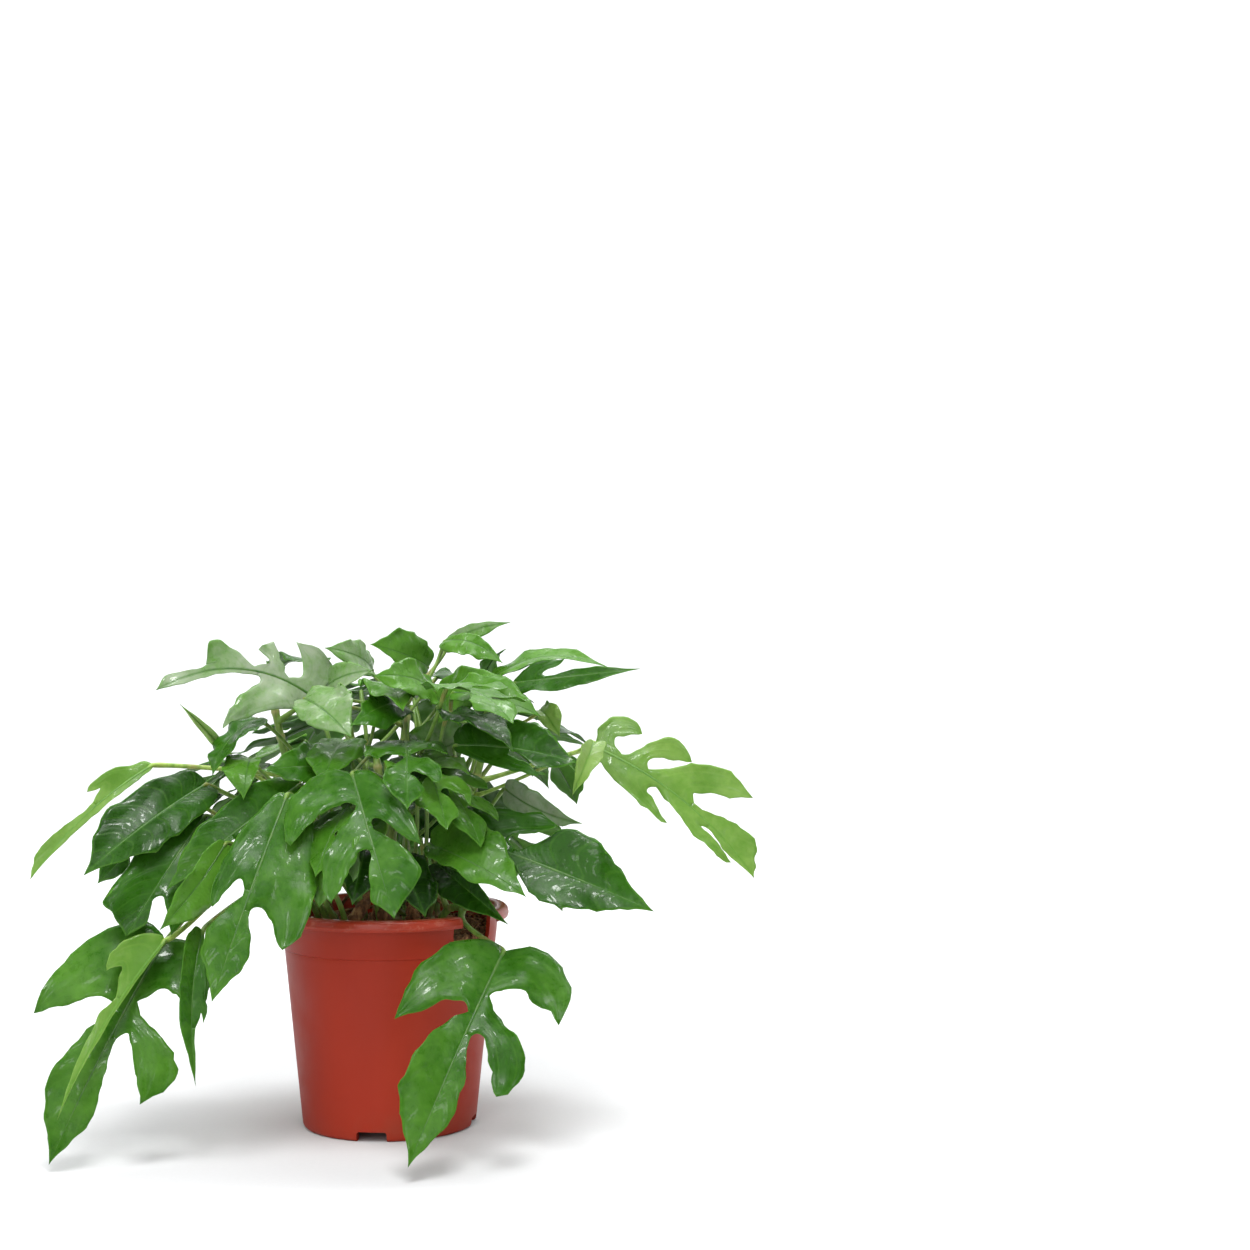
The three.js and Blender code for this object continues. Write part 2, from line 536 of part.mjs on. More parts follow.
// Leaves: base and tip of the blade, and the way its upper side faces
const leafTable = {
  trailing_front: {
    stem: ["front", 1.0], base: [54, -68, 96], tip: [8, -124, 8], face: [-1, -10, 3],
    sag: 8, bend: 0, fold: 8, curl: 14,
    right: [[0.33, 0.28, 0.47, 0.1]], left: [[0.23, 0.33, 0.24, 0.06], [0.42, 0.22, 0.63, 0.2]],
    rightWide: [0.16, 0.68, 0.9], leftWide: [0.09, 0.72],
  },
  low_left: {
    stem: ["low_left", 1.0], base: [-107, -50, 101], tip: [-156, -85, 4], face: [-1, -10, 3],
    sag: 8, bend: 0, fold: 8, curl: 14,
    right: [[0.35, 0.32, 0.49, 0.1]], left: [[0.28, 0.25, 0.26, 0.1], [0.45, 0.24, 0.64, 0.24]],
    rightWide: [0.15, 0.7, 0.8], leftWide: [0.08, 0.76],
  },
  low_left_young: {
    stem: ["low_left", 0.9], base: [-106, -62, 103], tip: [-150, -100, 28], face: [-5, -10, 4],
    sag: 4, bend: 2, fold: 35, curl: 14,
    right: [[0.36, 0.13, 0.28, 0.1]], left: [],
    rightWide: [0.045, 0.5], leftWide: [0.05, 0.25],
  },
  low_left_narrow: {
    stem: ["low_left", 0.7], base: [-88.5, -60, 106.5], tip: [-89.5, -85, 38.5], face: [4, -10, 3],
    sag: 5, bend: 5, fold: 30, curl: 14,
    right: [], left: [[0.64, 0.08, 0.62, 0.05]],
    rightWide: [0.12, 0.35], leftWide: [0.02, 0.8],
  },
  left_front: {
    stem: ["left", 0.5], base: [-49, -55, 171], tip: [-81, -100, 80], face: [0, -10, 4],
    sag: 5, bend: 0, fold: 8, curl: 14,
    right: [[0.49, 0.14, 0.61, 0.1]], left: [[0.58, 0.22, 0.71, 0.2]],
    rightWide: [0.12, 0.75], leftWide: [0.09, 0.77],
  },
  left_turned: {
    stem: ["low_left", 0.8], base: [-78, -60, 148], tip: [-107, -78, 110], face: [0, -10, -4],
    sag: 5, bend: 0, fold: 8, curl: 14,
    right: [], left: [],
    rightWide: [0.14, 0.52], leftWide: [0.22, 0.53],
  },
  left_inner: {
    stem: ["left", 0.55], base: [-44, -35, 174], tip: [-106, -60, 126], face: [0, -10, 5],
    sag: 5, bend: 0, fold: 8, curl: 14,
    right: [], left: [[0.51, 0.12, 0.58, 0.1]],
    rightWide: [0.16, 0.58], leftWide: [0.04, 0.74],
  },
  left_broad: {
    stem: ["left", 0.6], base: [-90, -25, 174], tip: [-144, -60, 134], face: [0, -10, 6],
    sag: 5, bend: 0, fold: 8, curl: 14,
    right: [], left: [],
    rightWide: [0.22, 0.59], leftWide: [0.19, 0.51],
  },
  left_under: {
    stem: ["left", 0.45], base: [-99, -10, 165], tip: [-141, -35, 127], face: [0, -10, 4],
    sag: 5, bend: 0, fold: 8, curl: 14,
    right: [], left: [[0.68, 0.24, 0.84, 0.1]],
    rightWide: [0.12, 0.79], leftWide: [0.1, 0.8],
  },
  left_dark: {
    stem: ["low_left", 0.95], base: [-90, -30, 159], tip: [-124, -62, 105], face: [0, -10, 3],
    sag: 5, bend: 0, fold: 8, curl: 14,
    right: [], left: [[0.7, 0.25, 0.85, 0.1]],
    rightWide: [0.24, 0.86], leftWide: [0.07, 0.86],
  },
  far_left: {
    stem: ["left", 0.75], base: [-117, -15, 183], tip: [-172, -40, 130], face: [0, -10, 4],
    sag: 5, bend: 3, fold: 8, curl: 14,
    right: [[0.42, 0.1, 0.4, 0.08]], left: [],
    rightWide: [0.06, 0.85], leftWide: [0.04, 0.4],
  },
  left_shoot: {
    stem: ["left", 0.7], base: [-80, -12, 187], tip: [-103, -25, 214], face: [0, -10, 3],
    sag: 5, bend: 0, fold: 60, curl: 14,
    right: [], left: [],
    rightWide: [0.1, 0.49], leftWide: [0.13, 0.54],
  },
  upper_left: {
    stem: ["left", 0.95], base: [-39, -12, 217], tip: [-112, -48, 221], face: [0, -10, 4],
    sag: 5, bend: 11, fold: 8, curl: 14,
    right: [[0.16, 0.28, 0.17, 0.1], [0.38, 0.14, 0.37, 0.24], [0.7, 0.04, 0.68, 0.3]],
    left: [[0.36, 0.37, 0.72, -0.05]],
    rightWide: [0.05, 0.9], leftWide: [0.04, 0.83],
  },
  upper_left_front: {
    stem: ["centre", 0.8], base: [-42, -26, 216], tip: [-18, -56, 198], face: [0, -10, 5],
    sag: 5, bend: 0, fold: 8, curl: 14,
    right: [], left: [],
    rightWide: [0.23, 0.5], leftWide: [0.36, 0.49],
  },
  upper_left_pale: {
    stem: ["centre", 0.85], base: [-34, 4, 218], tip: [-8, -22, 230], face: [0, -10, 6],
    sag: 5, bend: 0, fold: 8, curl: 14,
    right: [], left: [],
    rightWide: [0.2, 0.63], leftWide: [0.22, 0.46],
  },
  upper_left_grey: {
    stem: ["centre", 0.95], base: [-9, 22, 229], tip: [-33, -6, 241], face: [0, -10, 5],
    sag: 5, bend: 0, fold: 8, curl: 14,
    right: [], left: [],
    rightWide: [0.24, 0.41], leftWide: [0.19, 0.59],
  },
  top_centre: {
    stem: ["centre", 1.0], base: [19, -8, 231], tip: [-10, -30, 243], face: [0, -10, 3],
    sag: 5, bend: 0, fold: 8, curl: 14,
    right: [], left: [],
    rightWide: [0.32, 0.59], leftWide: [0.15, 0.45],
  },
  top_right: {
    stem: ["centre", 0.93], base: [28, 16, 244], tip: [57, -8, 233], face: [0, -10, 6],
    sag: 5, bend: -2, fold: 8, curl: 14,
    right: [], left: [],
    rightWide: [0.22, 0.6], leftWide: [0.12, 0.5],
  },
  top_peak: {
    stem: ["centre", 0.98], base: [30, 24, 243], tip: [62, 5, 254], face: [0, -10, 4],
    sag: 5, bend: 0, fold: 8, curl: 14,
    right: [], left: [],
    rightWide: [0.14, 0.4], leftWide: [0.1, 0.45],
  },
  top_glossy: {
    stem: ["centre", 0.9], base: [22, -24, 219], tip: [-8, -56, 228], face: [0, -10, 7],
    sag: 5, bend: 0, fold: 8, curl: 14,
    right: [], left: [],
    rightWide: [0.26, 0.35], leftWide: [0.27, 0.71],
  },
  top_glossy_left: {
    stem: ["centre", 0.8], base: [6, -20, 213], tip: [-19, -56, 204], face: [0, -10, 6],
    sag: 5, bend: 0, fold: 8, curl: 14,
    right: [], left: [],
    rightWide: [0.24, 0.23], leftWide: [0.25, 0.66],
  },
  upper_right_long: {
    stem: ["right", 1.0], base: [50, 3, 223], tip: [110, -17, 231], face: [0, -4, 10],
    sag: 10, bend: 0, fold: 8, curl: 14,
    right: [], left: [],
    rightWide: [0.16, 0.45], leftWide: [0.16, 0.4],
  },
  upper_right_tip: {
    stem: ["right", 0.95], base: [62, -16, 223], tip: [123, -46, 231], face: [0, -10, 6],
    sag: 5, bend: 3, fold: 8, curl: 14,
    right: [], left: [[0.28, 0.15, 0.43, 0.1]],
    rightWide: [0.11, 0.3], leftWide: [0.06, 0.6],
  },
  upper_right_grey: {
    stem: ["right", 0.9], base: [24, -8, 211], tip: [57, -28, 227], face: [0, -10, 6],
    sag: 5, bend: 0, fold: 8, curl: 14,
    right: [], left: [],
    rightWide: [0.28, 0.7], leftWide: [0.29, 0.45],
  },
  upper_right_front: {
    stem: ["right", 0.72], base: [31, -34, 219], tip: [73, -58, 208], face: [0, -10, 7],
    sag: 5, bend: 0, fold: 8, curl: 14,
    right: [], left: [],
    rightWide: [0.13, 0.49], leftWide: [0.26, 0.46],
  },
  centre_turned: {
    stem: ["centre", 0.65], base: [14, -6, 189], tip: [42, -24, 200], face: [0, -10, -6],
    sag: 5, bend: 0, fold: 8, curl: 14,
    right: [], left: [],
    rightWide: [0.3, 0.37], leftWide: [0.47, 0.73],
  },
  right_dark: {
    stem: ["right", 0.7], base: [32, -35, 193], tip: [90, -62, 186], face: [0, -10, 6],
    sag: 5, bend: 0, fold: 8, curl: 14,
    right: [[0.5, 0.2, 0.82, 0.05]], left: [],
    rightWide: [0.13, 0.8], leftWide: [0.25, 0.53],
  },
  right_shoot_low: {
    stem: ["right", 0.7], base: [103, -12, 193], tip: [90, -32, 167], face: [0, -10, 2],
    sag: 5, bend: 0, fold: 30, curl: 14,
    right: [], left: [],
    rightWide: [0.15, 0.5], leftWide: [0.2, 0.32],
  },
  right_shoot_high: {
    stem: ["right", 0.9], base: [76, -8, 209], tip: [85, -20, 196], face: [0, -10, 2],
    sag: 5, bend: 0, fold: 30, curl: 14,
    right: [], left: [],
    rightWide: [0.23, 0.52], leftWide: [0.31, 0.56],
  },
  right_arm: {
    stem: ["right", 0.75], base: [106, 5, 189], tip: [185, -15, 123], face: [0, -10, 6],
    sag: 5, bend: -6, fold: 8, curl: 14,
    right: [[0.35, 0.15, 0.5, 0.05], [0.67, 0.05, 0.87, 0.14]],
    left: [[0.12, 0.17, 0.16, 0.14], [0.27, 0.19, 0.42, 0.14], [0.54, 0.25, 0.72, 0.1]],
    rightWide: [0.04, 0.8], leftWide: [0.12, 0.86],
  },
  right_split: {
    stem: ["right", 0.35], base: [24, -40, 152], tip: [126, -75, 115], face: [0, -10, 5],
    sag: 5, bend: 0, fold: 8, curl: 14,
    right: [[0.32, 0.15, 0.31, 0.1]], left: [[0.34, 0.18, 0.49, 0.1]],
    rightWide: [0.16, 0.57], leftWide: [0.19, 0.59],
  },
  right_turned: {
    stem: ["right", 0.5], base: [58, -20, 170], tip: [95, -38, 154], face: [0, -10, -5],
    sag: 5, bend: 0, fold: 8, curl: 14,
    right: [], left: [],
    rightWide: [0.19, 0.42], leftWide: [0.2, 0.4],
  },
  right_light: {
    stem: ["right", 0.28], base: [19, -52, 146], tip: [64, -84, 124], face: [0, -10, 6],
    sag: 5, bend: 0, fold: 8, curl: 14,
    right: [], left: [],
    rightWide: [0.14, 0.53], leftWide: [0.33, 0.44],
  },
  right_hanging: {
    stem: ["front", 0.6], base: [23, -24, 134], tip: [57, -64, 108], face: [-3, -10, 3],
    sag: 5, bend: 0, fold: 30, curl: 14,
    right: [], left: [],
    rightWide: [0.19, 0.4], leftWide: [0.14, 0.33],
  },
  front_centre: {
    stem: ["centre", 0.6], base: [-18, -60, 181], tip: [2, -100, 117], face: [-1, -10, 4],
    sag: 5, bend: 0, fold: 8, curl: 14,
    right: [[0.24, 0.47, 0.36, 0.1], [0.56, 0.33, 0.81, 0.1]], left: [[0.39, 0.27, 0.64, 0.06]],
    rightWide: [0.1, 0.84], leftWide: [0.23, 0.76],
  },
  centre_curled: {
    stem: ["centre", 0.74], base: [-20, -18, 178], tip: [-62, -46, 182], face: [0, -10, 7],
    sag: 5, bend: 0, fold: 8, curl: 14,
    right: [], left: [],
    rightWide: [0.3, 0.36], leftWide: [0.21, 0.58],
  },
  centre_small: {
    stem: ["left", 0.65], base: [-68, -30, 187], tip: [-70, -50, 168], face: [0, -10, 5],
    sag: 5, bend: 0, fold: 8, curl: 14,
    right: [], left: [],
    rightWide: [0.41, 0.43], leftWide: [0.18, 0.38],
  },
  inner_left: {
    stem: ["left", 0.35], base: [-27, -30, 151], tip: [-41, -48, 129], face: [0, -10, 4],
    sag: 5, bend: 0, fold: 8, curl: 14,
    right: [], left: [],
    rightWide: [0.34, 0.58], leftWide: [0.24, 0.56],
  },
  inner_front: {
    stem: ["centre", 0.3], base: [-12, -45, 143], tip: [-18, -60, 118], face: [0, -10, 3],
    sag: 5, bend: 0, fold: 8, curl: 14,
    right: [], left: [],
    rightWide: [0.24, 0.59], leftWide: [0.27, 0.57],
  },
  inner_right: {
    stem: ["centre", 0.2], base: [5, -35, 137], tip: [17, -55, 111], face: [0, -10, 3],
    sag: 5, bend: 0, fold: 8, curl: 14,
    right: [], left: [],
    rightWide: [0.22, 0.51], leftWide: [0.31, 0.67],
  },
  inner_upper: {
    stem: ["centre", 0.5], base: [8, 4, 163], tip: [45, -18, 139], face: [0, -10, 5],
    sag: 5, bend: 0, fold: 8, curl: 14,
    right: [], left: [],
    rightWide: [0.25, 0.54], leftWide: [0.32, 0.33],
  },
  back_low_left: {
    stem: ["back", 0.45], base: [-22, 62, 158], tip: [-78, 112, 100], face: [-2, 6, 10],
    sag: 8, bend: 0, fold: 8, curl: 14,
    right: [[0.28, 0.34, 0.35, 0.1], [0.56, 0.27, 0.74, 0.1]],
    left: [[0.3, 0.33, 0.4, 0.1], [0.58, 0.26, 0.76, 0.1]],
    rightWide: [0.13, 0.8], leftWide: [0.13, 0.8],
  },
  back_middle: {
    stem: ["back", 0.7], base: [-2, 72, 178], tip: [10, 138, 118], face: [0, 6, 10],
    sag: 8, bend: 0, fold: 8, curl: 14,
    right: [[0.3, 0.35, 0.4, 0.1], [0.6, 0.27, 0.78, 0.1]],
    left: [[0.26, 0.33, 0.34, 0.1], [0.54, 0.27, 0.72, 0.1]],
    rightWide: [0.14, 0.8], leftWide: [0.13, 0.78],
  },
  back_low_right: {
    stem: ["right", 0.3], base: [52, 46, 148], tip: [96, 98, 92], face: [2, 6, 10],
    sag: 8, bend: 0, fold: 8, curl: 14,
    right: [[0.3, 0.34, 0.38, 0.1], [0.62, 0.26, 0.78, 0.1]],
    left: [[0.3, 0.33, 0.4, 0.1], [0.58, 0.26, 0.76, 0.1]],
    rightWide: [0.13, 0.8], leftWide: [0.13, 0.8],
  },
  back_low: {
    stem: ["back", 0.36], base: [14, 66, 132], tip: [22, 112, 62], face: [0, 10, 5],
    sag: 8, bend: 0, fold: 8, curl: 14,
    right: [[0.32, 0.32, 0.42, 0.1]],
    left: [[0.3, 0.33, 0.4, 0.1], [0.58, 0.26, 0.76, 0.1]],
    rightWide: [0.18, 0.7], leftWide: [0.13, 0.8],
  },
  back_left: {
    stem: ["left", 0.6], base: [-72, 34, 180], tip: [-118, 84, 142], face: [-3, 5, 10],
    sag: 8, bend: 0, fold: 8, curl: 14,
    right: [[0.35, 0.3, 0.45, 0.1]],
    left: [[0.3, 0.33, 0.4, 0.1]],
    rightWide: [0.2, 0.7], leftWide: [0.2, 0.68],
  },
  back_right: {
    stem: ["right", 0.75], base: [66, 44, 196], tip: [104, 96, 152], face: [3, 5, 10],
    sag: 8, bend: 0, fold: 8, curl: 14,
    right: [[0.3, 0.32, 0.4, 0.1]],
    left: [[0.3, 0.33, 0.4, 0.1], [0.58, 0.26, 0.76, 0.1]],
    rightWide: [0.18, 0.68], leftWide: [0.13, 0.8],
  },
  back_upper_left: {
    stem: ["back", 0.97], base: [-28, 72, 204], tip: [-52, 128, 172], face: [-1, 5, 10],
    sag: 8, bend: 0, fold: 8, curl: 14,
    right: [], left: [[0.4, 0.3, 0.5, 0.1]],
    rightWide: [0.32, 0.45], leftWide: [0.2, 0.75],
  },
  back_upper_right: {
    stem: ["centre", 0.75], base: [28, 52, 214], tip: [44, 110, 188], face: [1, 5, 10],
    sag: 8, bend: 0, fold: 8, curl: 14,
    right: [[0.4, 0.3, 0.5, 0.1]], left: [],
    rightWide: [0.2, 0.75], leftWide: [0.32, 0.45],
  },
};

function makeStem({ radius, route }) {
  const lifted = route.map(([x, y, z], i) => [x, y, i ? z : SOIL_TOP + CLEARANCE]);
  const curve = curveOf(lifted);
  return { curve, radius, geometry: tube(curve, radius, STEM_SIDES, STEM_STEPS) };
}

function makeShoot(shoot) {
  const branch = makeStem(shoot);
  const height = branch.curve.getPoint(1).z - SOIL_TOP;
  let solid = solidOf(branch.geometry);
  for (const [blade, z, turn, reach, length, droop] of shoot.leaves) {
    const at = THREE.MathUtils.clamp((z - LEAF_CLIMB - SOIL_TOP) / height, LOWEST_LEAF, HIGHEST_LEAF);
    const root = branch.curve.getPoint(at);
    const out = new THREE.Vector3(Math.cos(toRadians(turn)), Math.sin(toRadians(turn)), 0);
    const base = new THREE.Vector3(root.x, root.y, z).addScaledVector(out, reach);
    const tip = base.clone().addScaledVector(out, length * Math.cos(toRadians(droop)));
    tip.z -= length * Math.sin(toRadians(droop));
    const leaf = { ...shootPose, ...shootBlades[blade], base: base.toArray(), tip: tip.toArray() };
    solid = solid.add(leafSolid(leaf, branch, at, -branch.radius));
  }
  return geometryOf(solid);
}

const plant = new THREE.Group();

function addMesh(name, geometry, colour, roughness) {
  const material = new THREE.MeshStandardMaterial({ color: colour, roughness, metalness: 0 });
  const mesh = new THREE.Mesh(geometry, material);
  mesh.name = name;
  plant.add(mesh);
}

addMesh("pot", makePot(), 0x9b3728, 0.45);
addMesh("soil", makeSoil(), 0x4a3426, 0.95);

const stems = {};
for (const [name, row] of Object.entries(stemTable)) {
  stems[name] = makeStem(row);
  addMesh(`stem_${name}`, stems[name].geometry, 0x5f7d35, 0.6);
}

for (const [name, leaf] of Object.entries(leafTable)) {
  addMesh(`leaf_${name}`, makeLeaf(leaf, stems), 0x3f7d2c, 0.35);
}

for (const [name, shoot] of Object.entries(shootTable)) {
  addMesh(`shoot_${name}`, makeShoot(shoot), 0x3a7430, 0.35);
}

export default plant;
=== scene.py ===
from functools import partial

import bmesh
import bpy
import numpy as np
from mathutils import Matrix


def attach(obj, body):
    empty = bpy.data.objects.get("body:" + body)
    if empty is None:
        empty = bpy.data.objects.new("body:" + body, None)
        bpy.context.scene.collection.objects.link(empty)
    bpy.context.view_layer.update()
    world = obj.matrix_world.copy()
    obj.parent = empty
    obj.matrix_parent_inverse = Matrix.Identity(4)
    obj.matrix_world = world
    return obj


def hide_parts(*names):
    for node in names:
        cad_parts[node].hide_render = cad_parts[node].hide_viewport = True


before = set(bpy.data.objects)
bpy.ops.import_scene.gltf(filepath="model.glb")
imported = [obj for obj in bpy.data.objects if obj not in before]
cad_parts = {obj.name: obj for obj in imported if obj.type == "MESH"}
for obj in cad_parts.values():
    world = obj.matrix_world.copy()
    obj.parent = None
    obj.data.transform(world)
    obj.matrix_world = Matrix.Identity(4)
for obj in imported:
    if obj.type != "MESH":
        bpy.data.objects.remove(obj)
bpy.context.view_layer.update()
mm = 0.001
print("frame loaded")


# camera and light

view = {
    "distance": 1.076,  # in front of the pot's axis
    "height": 0.2525,
    "turn": 6.376,  # degrees to the right of the pot
    "lens": 60.57,
    "sensor": 36.0,
    "nearest": 0.02,
}

light = {
    "world": 0.22,
    "softboxes": {  # size in metres, power in watts, place, and the point it faces
        "keySoftbox": (0.6, 22.0, (0.02, -0.78, 1.5), (0, 0, 0.14)),
        "sideSoftbox": (0.7, 8.0, (-1.2, -0.7, 1.1), (0, 0, 0.14)),
        "fillSoftbox": (1.2, 4.5, (1.5, -0.9, 0.9), (0, 0, 0.14)),
        "frontSoftbox": (1.4, 15.0, (-0.5, -1.7, 0.82), (0, 0, 0.14)),
        "backSoftbox": (0.8, 6.0, (0.25, 0.7, 1.5), (0, 0, 0.14)),
        "wallWash": (3.0, 150.0, (0.3, 1.2, 2.6), (0.3, 3.1, 0.8)),
    },
}


def addCamera():
    camera = bpy.data.objects.new("camera", bpy.data.cameras.new("camera"))
    camera.data.lens = view["lens"]
    camera.data.sensor_width = view["sensor"]
    camera.data.clip_start = view["nearest"]
    camera.location = (0, -view["distance"], view["height"])
    camera.rotation_euler = (np.pi / 2, 0, -np.radians(view["turn"]))
    bpy.context.scene.collection.objects.link(camera)
    bpy.context.scene.camera = camera


def addSoftbox(name, size, power, place, aim):
    lamp = bpy.data.lights.new(name, "AREA")
    lamp.shape = "SQUARE"
    lamp.size = size
    lamp.energy = power
    box = bpy.data.objects.new(name, lamp)
    box.location = place
    away = np.array(place) - np.array(aim)
    flat = np.hypot(away[0], away[1])
    box.rotation_euler = (np.arctan2(flat, away[2]), 0, np.arctan2(away[1], away[0]) + np.pi / 2)
    bpy.context.scene.collection.objects.link(box)


addCamera()
for softbox, values in light["softboxes"].items():
    addSoftbox(softbox, *values)
world = bpy.data.worlds.new("studio")
bpy.context.scene.world = world
world.use_nodes = True
world.node_tree.nodes["Background"].inputs["Color"].default_value = (1, 1, 1, 1)
world.node_tree.nodes["Background"].inputs["Strength"].default_value = light["world"]
bpy.context.scene.view_settings.view_transform = "Standard"  # plain display colours
print("camera and lights placed")


# materials

def toLinear(hexColour):
    # sRGB hex to linear: the standard two-part curve
    parts = [int(hexColour[i:i + 2], 16) / 255 for i in (1, 3, 5)]
    return tuple(p / 12.92 if p <= 0.04045 else ((p + 0.055) / 1.055) ** 2.4 for p in parts) + (1.0,)


def feed(node, inputs):
    # an input, by its name or number, takes the socket that feeds it or a fixed value
    for key, value in inputs.items():
        if isinstance(value, bpy.types.NodeSocket):
            node.id_data.links.new(value, node.inputs[key])
        else:
            node.inputs[key].default_value = value


def addNode(tree, kind, inputs=None, output=0, stops=(), **settings):
    # one node with its settings and inputs; a colour ramp has stops of (place, sRGB hex); gives the named output
    node = tree.nodes.new("ShaderNode" + kind)
    for key, value in settings.items():
        setattr(node, key, value)
    feed(node, inputs or {})
    while stops and len(node.color_ramp.elements) < len(stops):
        node.color_ramp.elements.new(0.5)
    for i, (place, colour) in enumerate(stops):
        node.color_ramp.elements[i].position = place
        node.color_ramp.elements[i].color = toLinear(colour)
    return node.outputs[output]


def newMaterial(name):
    # gives the material, its own Principled shader, what adds its nodes and the Object coordinates
    material = bpy.data.materials.new(name)
    material.use_nodes = True
    add = partial(addNode, material.node_tree)
    return material, material.node_tree.nodes["Principled BSDF"], add, add("TexCoord", output="Object")


# settings that many nodes share
times, plus, minus, timesPlus = ({"operation": name} for name in ("MULTIPLY", "ADD", "SUBTRACT", "MULTIPLY_ADD"))
smooth = {"interpolation_type": "SMOOTHSTEP"}
blended = {"data_type": "RGBA", "output": 2}  # a mix of the colours at inputs 6 and 7, by input 0
perMetre = 1000.0  # divided by a pattern's size in mm it gives a noise scale


def makeEarthy(name, look):
    # crumbly or fibrous matter: colours that follow its grain, a tint in patches, and relief from either pattern
    material, shader, add, place = newMaterial(name)
    patterns = []
    for size, detail, roughness, stretch in (look["grain"], look["patch"]):  # size in mm
        stretched = add("Mapping", {"Vector": place, "Scale": stretch})
        patterns.append(add("TexNoise", {"Vector": stretched, "Scale": perMetre / size, "Detail": detail,
                                         "Roughness": roughness}))
    colour = add("ValToRGB", {"Fac": patterns[0]}, stops=look["colours"])
    low, high, most = look["tinted"]
    tint = add("MapRange", {"Value": patterns[1], "From Min": low, "From Max": high, "To Max": most}, **smooth)
    colour = add("Mix", {0: tint, 6: colour, 7: toLinear(look["tint"])}, **blended)
    under = {}
    for pattern, depth, strength in look["relief"]:  # 0 is the grain and 1 the patches; depth in metres
        under["Normal"] = add("Bump", {"Height": patterns[pattern], "Distance": depth, "Strength": strength, **under})
    feed(shader, {"Base Color": colour, "Roughness": look["roughness"],
                  "Specular IOR Level": look["specular"], **under})
    return material


# meshes

def addMesh(name, points, faces, materials, smoothShaded=True):
    # an object at the origin whose mesh has these points, in metres
    mesh = bpy.data.meshes.new(name)
    mesh.from_pydata(points.tolist(), [], faces.tolist() if isinstance(faces, np.ndarray) else faces)
    mesh.update()
    for material in materials:
        mesh.materials.append(material)
    mesh.shade_smooth() if smoothShaded else mesh.shade_flat()
    piece = bpy.data.objects.new(name, mesh)
    bpy.context.scene.collection.objects.link(piece)
    return piece


def gridFaces(rows, columns, wrapColumns=False, first=0):
    # quads of a grid whose points run row by row; wrapColumns joins the last column to the first
    last = columns if wrapColumns else columns - 1
    r, c = np.meshgrid(np.arange(rows - 1), np.arange(last), indexing="ij")
    a = r * columns + c
    b = r * columns + (c + 1) % columns
    return np.stack([a, b, b + columns, a + columns], -1).reshape(-1, 4) + first


def waves(points, seed, smallest, largest, count=40):
    # smooth random field: a sum of sine waves with random headings and wavelengths, in the points' own unit
    random = np.random.default_rng(seed)
    heading = random.normal(size=(count, points.shape[-1]))
    heading /= np.linalg.norm(heading, axis=1, keepdims=True)
    length = np.exp(random.uniform(np.log(smallest), np.log(largest), count))
    phase = random.uniform(0, 2 * np.pi, count)
    size = np.sqrt(length / length.max())
    field = np.sin(points @ (heading * (2 * np.pi / length)[:, None]).T + phase) * size
    return field.sum(-1) / np.sqrt((size ** 2).sum() / 2)


def tidyFace(face):
    # drops repeated corners where a row has closed to a point
    return [v for i, v in enumerate(face) if v != face[i - 1]]


def weld(mesh, distance=1e-6):
    # merges the points that coincide where a row has closed or a ring has met itself
    grid = bmesh.new()
    grid.from_mesh(mesh)
    bmesh.ops.remove_doubles(grid, verts=grid.verts, dist=distance)
    bmesh.ops.dissolve_degenerate(grid, edges=grid.edges, dist=distance / 10)
    grid.to_mesh(mesh)
    grid.free()


# backdrop: a round floor that curves up into a wall on every side

backdrop = {
    "floor": 2.3, "curve": 0.9, "wall": 2.4, "curveSteps": 24, "segments": 96,  # metres and counts
    "pale": "#cacbcc", "paler": "#cecfd0", "fibre": 2.5, "roughness": 0.9, "specular": 0.2,
}


def makePaper():
    # matt white studio paper: bright and even, takes soft shadows
    b = backdrop
    material, shader, add, place = newMaterial("matt white studio paper")
    fibre = add("TexNoise", {"Vector": place, "Scale": perMetre / b["fibre"]})
    pale = add("ValToRGB", {"Fac": fibre}, stops=[(0.0, b["pale"]), (1.0, b["paler"])])
    feed(shader, {"Base Color": pale, "Roughness": b["roughness"], "Specular IOR Level": b["specular"]})
    return material


def makeBackdrop():
    # profile in radius and z: flat floor, quarter circle, wall, turned about the plant's axis
    b = backdrop
    turn = np.linspace(0, np.pi / 2, b["curveSteps"])
    reach = b["floor"] + b["curve"] * np.sin(turn)
    radius = np.concatenate([[0.0], reach, [reach[-1]]])
    z = np.concatenate([[0.0], b["curve"] * (1 - np.cos(turn)), [b["wall"]]])
    points, faces = lathe(np.stack([radius, z], -1), b["segments"])
    paper = addMesh("studioPaper", points, [tidyFace(face) for face in faces[:, ::-1].tolist()], [makePaper()])
    weld(paper.data)


# shared shapes

